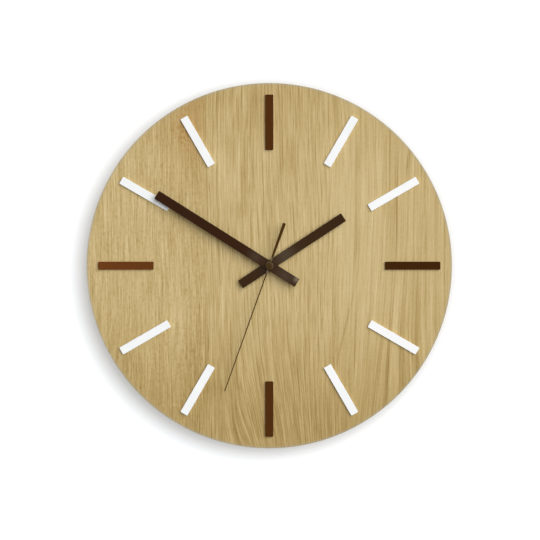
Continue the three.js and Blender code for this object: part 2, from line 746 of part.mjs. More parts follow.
const motionWheelPhase = meshedPhase(centreAxis, CANNON_TEETH, 0, motionAxis, MOTION_WHEEL_TEETH);
const hourWheelPhase = meshedPhase(motionAxis, MOTION_PINION_TEETH, 0, centreAxis, HOUR_WHEEL_TEETH);
const thirdWheelPhase = meshedPhase(centreAxis, SECONDS_PINION_TEETH, 0, thirdAxis, THIRD_WHEEL_TEETH);
const centreWheelPhase = meshedPhase(thirdAxis, THIRD_PINION_TEETH, 0, centreAxis, CENTRE_WHEEL_TEETH);
const intermediatePhase = meshedPhase(
  centreAxis,
  SECONDS_WHEEL_TEETH,
  0,
  intermediateAxis,
  INTERMEDIATE_PINION_TEETH,
);
const rotorPhase = meshedPhase(intermediateAxis, INTERMEDIATE_WHEEL_TEETH, 0, rotorAxis, ROTOR_PINION_TEETH);

function hourWheel() {
  const bore = minuteTubeRadius + RUNNING_CLEARANCE;
  const wheel = gear(hourModule, HOUR_WHEEL_TEETH, hourWheelPhase, hourLayer.back, hourLayer.front);
  const tubeEnd = hourHandFront - PRESS_CLEARANCE;
  const tube = round(hourTubeRadius, hourLayer.back, tubeEnd, TUBE_FACETS);
  const hole = round(bore, hourLayer.back - CUT, tubeEnd + CUT, TUBE_FACETS);
  return piece("hour_wheel", wheel.add(tube).subtract(hole), whiteNylon());
}

function cannonPinion() {
  const sleeveEnd = clutchLayer.back - CLUTCH_THICKNESS;
  const tubeEnd = minuteHandFront - PRESS_CLEARANCE;
  const pinion = gear(motionModule, CANNON_TEETH, 0, motionLayer.back, motionLayer.front);
  const tube = round(minuteTubeRadius, sleeveEnd, tubeEnd, TUBE_FACETS);
  const shoulder = round(
    (minuteTubeRadius + rootRadius(motionModule, CANNON_TEETH)) / 2,
    centreLayer.front + FIT / 2,
    motionLayer.back + FIT,
    TUBE_FACETS,
  );
  const hole = round(arborRadius + RUNNING_CLEARANCE, sleeveEnd - CUT, tubeEnd + CUT, FINE_FACETS);
  return piece("cannon_pinion", joined(pinion, tube, shoulder).subtract(hole), brass());
}

function motionWheel() {
  const wheel = gear(
    motionModule,
    MOTION_WHEEL_TEETH,
    motionWheelPhase,
    motionLayer.back,
    motionLayer.front,
    motionAxis,
  );
  const pinion = gear(
    hourModule,
    MOTION_PINION_TEETH,
    0,
    motionLayer.front - FIT,
    hourLayer.front + PINION_OVERLAP,
    motionAxis,
  );
  const arbor = round(
    motionArborRadius,
    knobFront - KNOB_HEIGHT / 2,
    caseInside + PIVOT_DEPTH - PRESS_CLEARANCE,
    FINE_FACETS,
    motionAxis,
  );
  return piece("motion_wheel", joined(wheel, pinion, arbor), whiteNylon());
}

function settingKnob() {
  const outline = Array.from({ length: 2 * KNOB_FLUTES }, (_, i) =>
    polar(motionAxis, knobRadius - (i % 2) * FLUTE_DEPTH, (i * 180) / KNOB_FLUTES),
  );
  const grip = extruded(outline, KNOB_SETBACK, knobFront);
  const socket = round(
    motionArborRadius + PRESS_CLEARANCE,
    knobFront - KNOB_HEIGHT / 2 - PRESS_CLEARANCE,
    knobFront + CUT,
    FINE_FACETS,
    motionAxis,
  );
  return piece("setting_knob", grip.subtract(socket), whiteNylon());
}

function centreWheel() {
  const points = gearPoints(centreModule, CENTRE_WHEEL_TEETH, centreWheelPhase);
  const bore = circlePoints(minuteTubeRadius + RUNNING_CLEARANCE, TUBE_FACETS);
  const solid = extruded(withHoles(points, [bore]), centreLayer.back, centreLayer.front);
  return piece("centre_wheel", solid, whiteNylon());
}

// The clutch spring presses the centre wheel against the cannon pinion, so that the hands can be set.
function clutchSpring() {
  const arms = 3;
  const rootHalfAngle = 35;
  const tipHalfAngle = 8;
  const reachShare = 0.7;
  const reach = rootRadius(centreModule, CENTRE_WHEEL_TEETH) * reachShare;
  const hub = minuteTubeRadius + 3 * CLUTCH_THICKNESS;
  const outline = Array.from({ length: arms }, (_, i) => {
    const middle = (i * 360) / arms;
    return [
      polar(centreAxis, hub, middle - rootHalfAngle),
      polar(centreAxis, reach, middle - tipHalfAngle),
      polar(centreAxis, reach, middle + tipHalfAngle),
      polar(centreAxis, hub, middle + rootHalfAngle),
    ];
  }).flat();
  const bore = circlePoints(minuteTubeRadius + PRESS_CLEARANCE, TUBE_FACETS);
  const solid = extruded(withHoles(outline, [bore]), clutchLayer.back, clutchLayer.front);
  return piece("clutch_spring", solid, brass());
}

function thirdWheel() {
  const wheel = gear(
    thirdModule,
    THIRD_WHEEL_TEETH,
    thirdWheelPhase,
    thirdLayer.back,
    thirdLayer.front,
    thirdAxis,
  );
  const pinionFront = centreLayer.front + PINION_OVERLAP;
  const pinion = gear(
    centreModule,
    THIRD_PINION_TEETH,
    0,
    centreLayer.back - PINION_OVERLAP,
    pinionFront,
    thirdAxis,
  );
  const spindle = turned(
    [
      [0, bearingFloor + PRESS_CLEARANCE],
      [pivotRadius, bearingFloor + PRESS_CLEARANCE],
      [pivotRadius, bearingEnd + FIT],
      [shaftRadius, bearingEnd + FIT],
      [shaftRadius, pinionFront],
      [pivotRadius, pinionFront],
      [pivotRadius, caseInside + PIVOT_DEPTH - PRESS_CLEARANCE],
      [0, caseInside + PIVOT_DEPTH - PRESS_CLEARANCE],
    ],
    FINE_FACETS,
    thirdAxis,
  );
  return piece("third_wheel", joined(wheel, pinion, spindle), whiteNylon());
}

function secondsWheel() {
  const wheel = gear(secondsModule, SECONDS_WHEEL_TEETH, 0, secondsLayer.back, secondsLayer.front);
  const pinion = gear(
    thirdModule,
    SECONDS_PINION_TEETH,
    0,
    secondsLayer.front - FIT,
    thirdLayer.front + PINION_OVERLAP,
  );
  const bore = round(arborRadius + PRESS_CLEARANCE / 2, 0, caseDepth, FINE_FACETS);
  return piece("seconds_wheel", wheel.add(pinion).subtract(bore), whiteNylon());
}

function secondsArbor() {
  const back = bearingFloor + PRESS_CLEARANCE;
  const front = secondHandFront + CAP_HEIGHT / 3;
  return piece("seconds_arbor", round(arborRadius, back, front, FINE_FACETS), steel());
}

function intermediateWheel() {
  const wheel = gear(
    rotorModule,
    INTERMEDIATE_WHEEL_TEETH,
    0,
    rotorLayer.back,
    rotorLayer.front,
    intermediateAxis,
  );
  const pinionFront = secondsLayer.front + PINION_OVERLAP;
  const pinion = gear(
    secondsModule,
    INTERMEDIATE_PINION_TEETH,
    intermediatePhase,
    rotorLayer.front - FIT,
    pinionFront,
    intermediateAxis,
  );
  const spindle = turned(
    [
      [0, bearingFloor + PRESS_CLEARANCE],
      [pivotRadius, bearingFloor + PRESS_CLEARANCE],
      [pivotRadius, bearingEnd + FIT],
      [shaftRadius, bearingEnd + FIT],
      [shaftRadius, plateLayer.back - FIT],
      [pivotRadius, plateLayer.back - FIT],
      [pivotRadius, plateLayer.front - PRESS_CLEARANCE],
      [0, plateLayer.front - PRESS_CLEARANCE],
    ],
    FINE_FACETS,
    intermediateAxis,
  );
  return piece("intermediate_wheel", joined(wheel, pinion, spindle), whiteNylon());
}

// Stepping motor

function rotorMagnet() {
  const bore = shaftRadius + PRESS_CLEARANCE;
  const solid = round(MAGNET_DIAMETER / 2, magnetLayer.back, magnetLayer.front, TUBE_FACETS, rotorAxis, bore);
  return piece("rotor_magnet", solid, finish(0x4a4d52, 0.4, 0.8));
}

function rotorPinion() {
  const pinion = gear(
    rotorModule,
    ROTOR_PINION_TEETH,
    rotorPhase,
    rotorLayer.back - PINION_OVERLAP,
    rotorLayer.front + PINION_OVERLAP,
    rotorAxis,
  );
  const collar = magnetLayer.back - PRESS_CLEARANCE;
  const spindle = turned(
    [
      [0, bearingFloor + PRESS_CLEARANCE],
      [pivotRadius, bearingFloor + PRESS_CLEARANCE],
      [pivotRadius, bearingEnd + FIT],
      [shaftRadius, bearingEnd + FIT],
      [shaftRadius, rotorLayer.front + PINION_OVERLAP],
      [2 * shaftRadius, rotorLayer.front + PINION_OVERLAP],
      [2 * shaftRadius, collar],
      [shaftRadius, collar],
      [shaftRadius, magnetLayer.front],
      [pivotRadius, magnetLayer.front],
      [pivotRadius, plateLayer.front - PRESS_CLEARANCE],
      [0, plateLayer.front - PRESS_CLEARANCE],
    ],
    FINE_FACETS,
    rotorAxis,
  );
  return piece("rotor_pinion", pinion.add(spindle), whiteNylon());
}

const coilDepth = (coreLayer.back + coreLayer.front) / 2;

// One arm runs from the stator's ring to each end of the coil's core.
function statorArm(side) {
  const end = COIL_MIDDLE_HEIGHT + (side * CORE_LENGTH) / 2;
  const inner = COIL_MIDDLE_HEIGHT + (side * COIL_LENGTH) / 2 + side * FIT;
  const half = CORE_END_WIDTH / 2;
  const outline = [
    new THREE.Vector2(coilAxisX - half, inner),
    new THREE.Vector2(coilAxisX - half, end),
    new THREE.Vector2(coilAxisX + half, end),
    new THREE.Vector2(rotorAxis.x, rotorAxis.y + side * statorRing),
    new THREE.Vector2(rotorAxis.x - statorRing, rotorAxis.y + (side * STATOR_GAP) / 2),
    new THREE.Vector2(coilAxisX + COIL_FLANGE_DIAMETER / 2 + FIT, inner),
  ];
  return extruded(outline, statorLayer.back, statorLayer.front);
}

function stator() {
  const ring = round(statorRing, statorLayer.back, statorLayer.front, TUBE_FACETS, rotorAxis);
  const bore = round(statorBore, 0, caseDepth, TUBE_FACETS, rotorAxis);
  const pinHoles = statorPins.map((place) => round(pivotRadius + FIT, 0, caseDepth, FINE_FACETS, place));
  const solid = cutBy(joined(ring, statorArm(-1), statorArm(1)), bore, ...pinHoles);
  return piece("stator", solid, steel());
}

// The coil stands upright: a profile of [radius, height] pairs about its own axis.
function uprightTurned(profile) {
  const points = profile.map(([radius, height]) => new THREE.Vector2(radius, height));
  if (THREE.ShapeUtils.area(points) < 0) points.reverse();
  points.push(points[0].clone());
  const geometry = new THREE.LatheGeometry(points, TUBE_FACETS);
  geometry.rotateX(Math.PI / 2);
  geometry.translate(coilAxisX, -coilDepth, COIL_MIDDLE_HEIGHT);
  return toSolid(geometry);
}

function coilBobbin() {
  const half = COIL_LENGTH / 2;
  const flange = COIL_FLANGE_DIAMETER / 2;
  const tube = BOBBIN_TUBE_DIAMETER / 2;
  const spool = uprightTurned([
    [0, -half],
    [flange, -half],
    [flange, -half + FLANGE_THICKNESS],
    [tube, -half + FLANGE_THICKNESS],
    [tube, half - FLANGE_THICKNESS],
    [flange, half - FLANGE_THICKNESS],
    [flange, half],
    [0, half],
  ]);
  const slot = box(
    coilAxisX - CORE_WIDTH / 2 - PRESS_CLEARANCE,
    coilAxisX + CORE_WIDTH / 2 + PRESS_CLEARANCE,
    COIL_MIDDLE_HEIGHT - half - CUT,
    COIL_MIDDLE_HEIGHT + half + CUT,
    coreLayer.back - PRESS_CLEARANCE,
    coreLayer.front + PRESS_CLEARANCE,
  );
  return piece("coil_bobbin", spool.subtract(slot), whiteNylon());
}

function coilWinding() {
  const half = COIL_LENGTH / 2 - FLANGE_THICKNESS - PRESS_CLEARANCE;
  const inner = BOBBIN_TUBE_DIAMETER / 2 + PRESS_CLEARANCE;
  const outer = COIL_DIAMETER / 2;
  const solid = uprightTurned([[inner, -half], [outer, -half], [outer, half], [inner, half]]);
  return piece("coil_winding", solid, copper());
}

function coilCore() {
  const half = CORE_LENGTH / 2;
  const bar = box(
    coilAxisX - CORE_WIDTH / 2,
    coilAxisX + CORE_WIDTH / 2,
    COIL_MIDDLE_HEIGHT - half,
    COIL_MIDDLE_HEIGHT + half,
    coreLayer.back,
    coreLayer.front,
  );
  const ends = [-1, 1].map((side) => {
    const outer = COIL_MIDDLE_HEIGHT + side * half;
    const inner = COIL_MIDDLE_HEIGHT + side * (COIL_LENGTH / 2 + FIT);
    return box(
      coilAxisX - CORE_END_WIDTH / 2,
      coilAxisX + CORE_END_WIDTH / 2,
      Math.min(inner, outer),
      Math.max(inner, outer),
      coreLayer.back,
      coreLayer.front,
    );
  });
  return piece("coil_core", joined(bar, ...ends), steel());
}

// Circuit board

function circuitBoard() {
  const outline = roundedRectangle(CIRCUIT_LEFT, circuitRight, CIRCUIT_BOTTOM, circuitTop, CIRCUIT_EDGE_GAP);
  const holes = circuitPosts.map((place) => circlePoints(PIN_DIAMETER / 2 + FIT, FINE_FACETS, place));
  const solid = extruded(withHoles(outline, holes), circuitLayer.back, circuitLayer.front);
  return piece("circuit_board", solid, finish(0x2f6b3a, 0.5, 0));
}

// A drop of black resin over the bare chip.
function controllerChip() {
  const place = new THREE.Vector2(
    (CIRCUIT_LEFT + circuitRight) / 2,
    (CIRCUIT_BOTTOM + circuitTop) / 2,
  );
  const radius = CHIP_DIAMETER / 2;
  const top = circuitLayer.back - CHIP_HEIGHT;
  const solid = turned(
    [
      [0, circuitLayer.back],
      [radius, circuitLayer.back],
      [radius * 0.85, circuitLayer.back - CHIP_HEIGHT * 0.6],
      [radius * 0.5, circuitLayer.back - CHIP_HEIGHT * 0.93],
      [0, top],
    ],
    FINE_FACETS,
    place,
  );
  return piece("controller_chip", solid, finish(0x111111, 0.3, 0));
}

// The crystal's can lies on the circuit board, on a flat of its own radius.
function quartzCrystal() {
  const radius = CRYSTAL_DIAMETER / 2;
  const geometry = new THREE.CylinderGeometry(radius, radius, CRYSTAL_LENGTH, FINE_FACETS);
  geometry.rotateZ(Math.PI / 2);
  geometry.translate(
    circuitRight - CRYSTAL_LENGTH / 2 - CIRCUIT_EDGE_GAP,
    -(circuitLayer.back - radius),
    circuitTop - CRYSTAL_DIAMETER - CIRCUIT_EDGE_GAP,
  );
  return piece("quartz_crystal", toSolid(geometry), steel());
}

// Contacts: sprung steel strips from the cell's ends to the circuit board

const contactLayer = { back: circuitLayer.front, front: circuitLayer.front + 2 * CONTACT_WIDTH };

// The part of a contact that bows towards one end of the cell.
function bowedContact(side) {
  const wall = side * (roomHalf - CONTACT_THICKNESS / 2 - FIT);
  const crest = side * (CELL_LENGTH / 2 + CELL_CLEARANCE + CONTACT_THICKNESS / 2);
  const rise = CELL_NUB_DIAMETER;
  return [
    new THREE.Vector2(wall, bayBottom + FIT + CONTACT_THICKNESS),
    new THREE.Vector2(crest, cellMiddle - rise / 2),
    new THREE.Vector2(crest, cellMiddle + rise / 2),
    new THREE.Vector2(wall, bayTop - CONTACT_THICKNESS),
  ];
}

function contactStrip(path) {
  return extruded(ribbon(path, CONTACT_THICKNESS), contactLayer.back, contactLayer.front);
}

function positiveContact() {
  const wall = roomHalf - CONTACT_THICKNESS / 2 - FIT;
  const path = [
    ...bowedContact(1),
    new THREE.Vector2(wall, CIRCUIT_BOTTOM + CONTACT_WIDTH),
    new THREE.Vector2(circuitRight - CONTACT_WIDTH / 2, CIRCUIT_BOTTOM + 1.5 * CONTACT_WIDTH),
  ];
  return piece("positive_contact", contactStrip(path), steel());
}

function negativeContact() {
  const wall = -(roomHalf - CONTACT_THICKNESS / 2 - FIT);
  const top = roomTop - CONTACT_THICKNESS / 2 - FIT;
  const corner = CASE_CORNER - CASE_WALL;
  const path = [
    ...bowedContact(-1),
    new THREE.Vector2(wall, top - corner),
    new THREE.Vector2(wall + corner, top),
    new THREE.Vector2(CIRCUIT_LEFT - CONTACT_WIDTH / 2, top),
    new THREE.Vector2(CIRCUIT_LEFT + CONTACT_WIDTH / 4, top - CONTACT_WIDTH / 2),
  ];
  return piece("negative_contact", contactStrip(path), steel());
}

// Cell: a profile of [radius, distance along the bay] pairs about its own long axis
function cellTurned(profile) {
  const points = profile.map(([radius, along]) => new THREE.Vector2(radius, along));
  if (THREE.ShapeUtils.area(points) < 0) points.reverse();
  points.push(points[0].clone());
  const geometry = new THREE.LatheGeometry(points, CELL_FACETS);
  geometry.rotateZ(-Math.PI / 2);
  geometry.translate(0, -cellDepth, cellMiddle);
  return toSolid(geometry);
}

const canRadius = cellRadius - SLEEVE_THICKNESS - PRESS_CLEARANCE;

function batteryCan() {
  const half = CELL_LENGTH / 2;
  const shoulder = half - CELL_NUB_HEIGHT;
  const nub = CELL_NUB_DIAMETER / 2;
  const solid = cellTurned([
    [0, -half],
    [canRadius, -half],
    [canRadius, shoulder],
    [nub, shoulder],
    [nub, half],
    [0, half],
  ]);
  return piece("battery_can", solid, steel());
}

function batterySleeve() {
  const half = CELL_LENGTH / 2;
  const left = -half + SLEEVE_THICKNESS;
  const right = half - CELL_NUB_HEIGHT - SLEEVE_THICKNESS;
  const inner = cellRadius - SLEEVE_THICKNESS;
  const solid = cellTurned([[inner, left], [cellRadius, left], [cellRadius, right], [inner, right]]);
  return piece("battery_sleeve", solid, finish(0x3a3f45, 0.35, 0.2));
}

// Hanger: its foot slides into the dovetail rails, and its eye takes the nail.
function wallHanger() {
  const half = HANGER_WIDTH / 2;
  const bottom = caseTop + FIT / 2;
  const footTop = caseTop + HANGER_FOOT_HEIGHT;
  const top = caseTop + HANGER_HEIGHT;
  const shoulder = half - DOVETAIL - FIT;
  const shape = new THREE.Shape();
  shape.moveTo(-half, bottom);
  shape.lineTo(half, bottom);
  shape.lineTo(shoulder, footTop);
  shape.absarc(0, top - shoulder, shoulder, 0, Math.PI, false);
  shape.lineTo(-shoulder, footTop);
  const eyeBottom = footTop + EYE_SILL;
  const eyeTop = top - EYE_BAR;
  const eye = [
    new THREE.Vector2(-EYE_WIDTH / 2, eyeBottom),
    new THREE.Vector2(EYE_WIDTH / 2, eyeBottom),
    new THREE.Vector2(EYE_WIDTH / 2, (eyeBottom + eyeTop) / 2),
    new THREE.Vector2(EYE_TOP_WIDTH / 2, eyeTop),
    new THREE.Vector2(-EYE_TOP_WIDTH / 2, eyeTop),
    new THREE.Vector2(-EYE_WIDTH / 2, (eyeBottom + eyeTop) / 2),
  ];
  const front = HANGER_SETBACK + HANGER_THICKNESS;
  const solid = extruded(withHoles(shape, [eye]), HANGER_SETBACK, front, 16);
  return piece("wall_hanger", solid, blackPlastic());
}

// Hands: drawn pointing at 12 o'clock, then turned about the centre.

function barHand(reach, tail, holeRadius, back, front) {
  const half = HAND_WIDTH / 2;
  const outline = [
    new THREE.Vector2(-half, -tail),
    new THREE.Vector2(half, -tail),
    new THREE.Vector2(half, reach),
    new THREE.Vector2(-half, reach),
  ];
  return extruded(withHoles(outline, [circlePoints(holeRadius, TUBE_FACETS)]), back, front);
}

// A bush grips its tube, and its step locates the hand.
function bush(tubeRadius, collarBack, handBack, handFront) {
  const inner = tubeRadius + PRESS_CLEARANCE;
  const step = inner + BUSH_COLLAR;
  return turned(
    [
      [inner, collarBack],
      [step + BUSH_COLLAR, collarBack],
      [step + BUSH_COLLAR, handBack],
      [step, handBack],
      [step, handFront - PRESS_CLEARANCE],
      [inner, handFront - PRESS_CLEARANCE],
    ],
    TUBE_FACETS,
  );
}

function handHole(tubeRadius) {
  return tubeRadius + BUSH_COLLAR + 2 * PRESS_CLEARANCE;
}

function turnedHand(angle, ...pieces) {
  const hand = new THREE.Group();
  hand.add(...pieces);
  hand.rotation.y = THREE.MathUtils.degToRad(angle);
  return hand;
}

function hourHand() {
  const hole = handHole(hourTubeRadius);
  const bar = barHand(HOUR_HAND_REACH, HOUR_HAND_TAIL, hole, hourHandBack, hourHandFront);
  const grip = bush(hourTubeRadius, hourBushBack, hourHandBack, hourHandFront);
  return turnedHand(
    HOUR_HAND_ANGLE,
    piece("hour_hand", bar, handLacquer()),
    piece("hour_hand_bush", grip, brass()),
  );
}

function minuteHand() {
  const hole = handHole(minuteTubeRadius);
  const bar = barHand(MINUTE_HAND_REACH, MINUTE_HAND_TAIL, hole, minuteHandBack, minuteHandFront);
  const grip = bush(minuteTubeRadius, minuteHandBack - BUSH_COLLAR, minuteHandBack, minuteHandFront);
  return turnedHand(
    MINUTE_HAND_ANGLE,
    piece("minute_hand", bar, handLacquer()),
    piece("minute_hand_bush", grip, brass()),
  );
}

function secondHand() {
  const hub = SECOND_HUB_DIAMETER / 2;
  const root = NEEDLE_ROOT_WIDTH / 2;
  const needle = [
    new THREE.Vector2(-root, 0),
    new THREE.Vector2(root, 0),
    new THREE.Vector2(NEEDLE_TIP_WIDTH / 2, SECOND_HAND_REACH),
    new THREE.Vector2(-NEEDLE_TIP_WIDTH / 2, SECOND_HAND_REACH),
  ];
  const paddle = [
    new THREE.Vector2(root, 0),
    new THREE.Vector2(-root, 0),
    new THREE.Vector2(-root, -PADDLE_START + hub / 2),
    new THREE.Vector2(-PADDLE_ROOT_WIDTH / 2, -PADDLE_START),
    new THREE.Vector2(-PADDLE_END_WIDTH / 2, -SECOND_HAND_TAIL),
    new THREE.Vector2(PADDLE_END_WIDTH / 2, -SECOND_HAND_TAIL),
    new THREE.Vector2(PADDLE_ROOT_WIDTH / 2, -PADDLE_START),
    new THREE.Vector2(root, -PADDLE_START + hub / 2),
  ];
  const blade = joined(
    extruded(needle, secondHandBack, secondHandFront),
    extruded(paddle, secondHandBack, secondHandFront),
    round(hub, secondHandBack, secondHandFront, TUBE_FACETS),
  );
  const hole = round(arborRadius + FIT, 0, 2 * secondHandFront, FINE_FACETS);
  const tube = round(
    2 * arborRadius + PRESS_CLEARANCE,
    secondTubeBack,
    secondHandBack,
    FINE_FACETS,
    centreAxis,
    arborRadius + PRESS_CLEARANCE,
  );
  return turnedHand(
    SECOND_HAND_ANGLE,
    piece("second_hand", blade.subtract(hole), handLacquer()),
    piece("second_hand_tube", tube, brass()),
  );
}

// The cap hides the arbor's end: a shallow dome with a blind recess.
function hubCap() {
  const radius = CAP_DIAMETER / 2;
  const recess = arborRadius + PRESS_CLEARANCE;
  const recessEnd = secondHandFront + CAP_HEIGHT / 2;
  const rim = secondHandFront + CAP_HEIGHT / 2;
  const domeSteps = 3;
  const dome = Array.from({ length: domeSteps }, (_, i) => {
    const turn = (i * Math.PI) / 2 / domeSteps;
    return [radius * Math.cos(turn), rim + (CAP_HEIGHT / 2) * Math.sin(turn)];
  });
  const profile = [
    [0, recessEnd],
    [recess, recessEnd],
    [recess, secondHandFront],
    [radius, secondHandFront],
    ...dome,
    [0, rim + CAP_HEIGHT / 2],
  ];
  return piece("hub_cap", turned(profile, TUBE_FACETS), handLacquer());
}

function board() {
  const group = new THREE.Group();
  group.add(frontVeneer(), coreBoard(), backVeneer(), mountingFoam(), hourBars());
  return group;
}

function movement() {
  const group = new THREE.Group();
  group.add(movementCase(), backCover(), middlePlate(), wallHanger());
  group.add(hourWheel(), cannonPinion(), motionWheel(), settingKnob());
  group.add(centreWheel(), clutchSpring(), thirdWheel(), secondsWheel(), secondsArbor());
  group.add(intermediateWheel(), rotorMagnet(), rotorPinion(), stator());
  group.add(coilBobbin(), coilWinding(), coilCore());
  group.add(circuitBoard(), controllerChip(), quartzCrystal());
  group.add(positiveContact(), negativeContact(), batteryCan(), batterySleeve());
  return group;
}

const clock = new THREE.Group();
clock.add(board(), movement(), hourHand(), minuteHand(), secondHand(), hubCap());

export default clock;
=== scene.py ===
import math

import bmesh
import bpy
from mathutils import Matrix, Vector


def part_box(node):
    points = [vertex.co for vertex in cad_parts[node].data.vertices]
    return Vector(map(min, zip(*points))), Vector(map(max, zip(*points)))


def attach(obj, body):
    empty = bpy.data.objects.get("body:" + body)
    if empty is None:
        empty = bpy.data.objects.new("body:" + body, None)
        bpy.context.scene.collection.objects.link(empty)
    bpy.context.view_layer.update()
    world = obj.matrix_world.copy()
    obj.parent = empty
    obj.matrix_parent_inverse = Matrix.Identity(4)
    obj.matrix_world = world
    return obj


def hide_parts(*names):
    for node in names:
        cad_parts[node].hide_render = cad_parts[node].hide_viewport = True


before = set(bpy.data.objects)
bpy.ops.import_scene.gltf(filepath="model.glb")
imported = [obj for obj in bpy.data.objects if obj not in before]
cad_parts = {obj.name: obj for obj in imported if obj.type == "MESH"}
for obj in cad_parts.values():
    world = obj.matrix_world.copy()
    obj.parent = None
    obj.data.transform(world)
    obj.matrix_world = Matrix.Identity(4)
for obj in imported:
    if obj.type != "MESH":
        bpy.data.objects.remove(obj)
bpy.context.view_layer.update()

# A round wall clock with an oak-veneered face, raised acrylic hour bars and plain bar hands.
# Metres. +Z is 12 o'clock, the face looks along -Y, and the wall is at y = 0.

MM = 0.001
TURN = 2 * math.pi

# Sizes that a node's box doesn't give

# Board and hour bars
BOARD_BORE_RADIUS = 4.3 * MM
FACE_ROUNDING = 0.12 * MM
HOURS = 12
BAR_CORNER = 0.9 * MM
BAR_EDGE = 0.14 * MM

# Hands: angles are degrees clockwise from 12 o'clock
HAND_WIDTH = 8.3 * MM
HAND_CORNER = 0.3 * MM
HAND_EDGE = 0.12 * MM
HOUR_HAND_REACH = 80 * MM
HOUR_HAND_TAIL = 31 * MM
HOUR_HAND_ANGLE = 56.8
MINUTE_HAND_REACH = 120 * MM
MINUTE_HAND_TAIL = 29.5 * MM
MINUTE_HAND_ANGLE = 302.2
SECOND_HAND_REACH = 120 * MM
SECOND_HAND_TAIL = 40.6 * MM
SECOND_HAND_ANGLE = 199.6
NEEDLE_ROOT_WIDTH = 1.1 * MM
NEEDLE_TIP_WIDTH = 0.8 * MM
PADDLE_START = 8 * MM
PADDLE_ROOT_WIDTH = 2 * MM
PADDLE_END_WIDTH = 2.9 * MM
SECOND_HUB_RADIUS = 2.6 * MM
SECOND_EDGE = 0.07 * MM
CAP_ROUNDING = 0.7 * MM
CAP_CROWN = 0.15 * MM
BUSH_COLLAR = 0.6 * MM
BUSH_BEAD = 0.12 * MM
HOUR_BUSH_BORE_RADIUS = 2.6 * MM
HOUR_BUSH_SPIGOT_RADIUS = 3.2 * MM
MINUTE_BUSH_BORE_RADIUS = 1.7 * MM
MINUTE_BUSH_SPIGOT_RADIUS = 2.3 * MM

# Case, knob, foam pad and coil: a share is one of the knob's radius, or of its height for its bore
CASE_EDGE = 0.2 * MM
COVER_EDGE = 0.15 * MM
HANGER_EDGE = 0.3 * MM
KNOB_BORE_RADIUS = 1.1 * MM
KNOB_BORE_SHARE = 0.55
KNOB_ROUNDING = 0.5 * MM
KNOB_DISH_DEPTH = 0.35 * MM
KNOB_DISH_SHARES = (0.55, 0.68)
KNOB_FLUTES = 16
FLUTE_PLACE_SHARE = 1.07
FLUTE_RADIUS_SHARE = 0.16
FOAM_CORNER = 3 * MM
FOAM_EDGE = 0.3 * MM
WIRE_DIAMETER = 0.3 * MM

# Cell: the band and the ring of its sleeve are places right of the middle, in millimetres
CELL_NUB_HEIGHT = 1.2 * MM
CELL_NUB_RADIUS = 2.6 * MM
CELL_RING_RADIUS = 3.4 * MM
CELL_EDGE = 0.4 * MM
CELL_NUB_EDGE = 0.25 * MM
SLEEVE_THICKNESS = 0.2 * MM
SLEEVE_EDGE = 0.14 * MM
SLEEVE_BAND_START = 13.5
SLEEVE_RING_START = 12.3
SLEEVE_RING_END = 12.9

# Fineness of the meshes: steps round a turn, and angles in degrees
BOARD_STEPS = 256
KNOB_STEPS = 128
CAP_STEPS = 96
CELL_STEPS = 96
BUSH_STEPS = 64
WIRE_STEPS = 24
WIRE_SIDES = 8
FLUTE_STEPS = 16
CROWN_STEPS = 6
SMOOTH_ANGLE = 35
FLAT_ANGLE = 0.5
SAME_POINT = 0.001 * MM

# Materials read places in millimetres: the face, and the edge between two leaves of its veneer
FACE_RADIUS = 165
LEFT_JOINT = -58.2

# Camera: the picture's width in pixels, and where the middle of the face lies in it
PICTURE_PIXELS = 540
FACE_MIDDLE_PIXELS = (269.34, 265.65)
FACE_RADIUS_PIXELS = 182.6
CAMERA_DISTANCE = 2.6
SENSOR = 36

# Wall and world: the glow keeps the wall's shadows soft and a little cool
WALL_SIZE = 6
WALL_COLOUR = (0.88, 0.88, 0.88)
WALL_GLOW = 0.63
WALL_GLOW_COLOUR = (0.9, 0.945, 1.0, 1.0)
WALL_CORNER_SHADE = 0.94
WALL_CORNER_REACH = 0.3
WORLD_LIGHT = 0.15

# Lamps: strength, spread in degrees and the direction that the light comes from
KEY_LAMP = (2.75, 60, (0.63, -1.0, 0.4))
FRONT_LAMP = (0.5, 40, (0.03, -1.0, 0.02))
SHEEN_LAMP = (0.0012, 1, (0.0035, -1.0, 0.0034))
SHEEN_COLOUR = (1.0, 1.0, 0.77)
BACK_LAMP = (3.1, 60, (-0.45, 1.0, 0.5))


# Colours and shader sockets

def srgb(red, green, blue):
    """A colour as it is seen, 0 to 255, in the linear numbers of a shader."""
    def linear(level):
        share = level / 255
        return share / 12.92 if share <= 0.04045 else ((share + 0.055) / 1.055) ** 2.4
    return (linear(red), linear(green), linear(blue), 1.0)


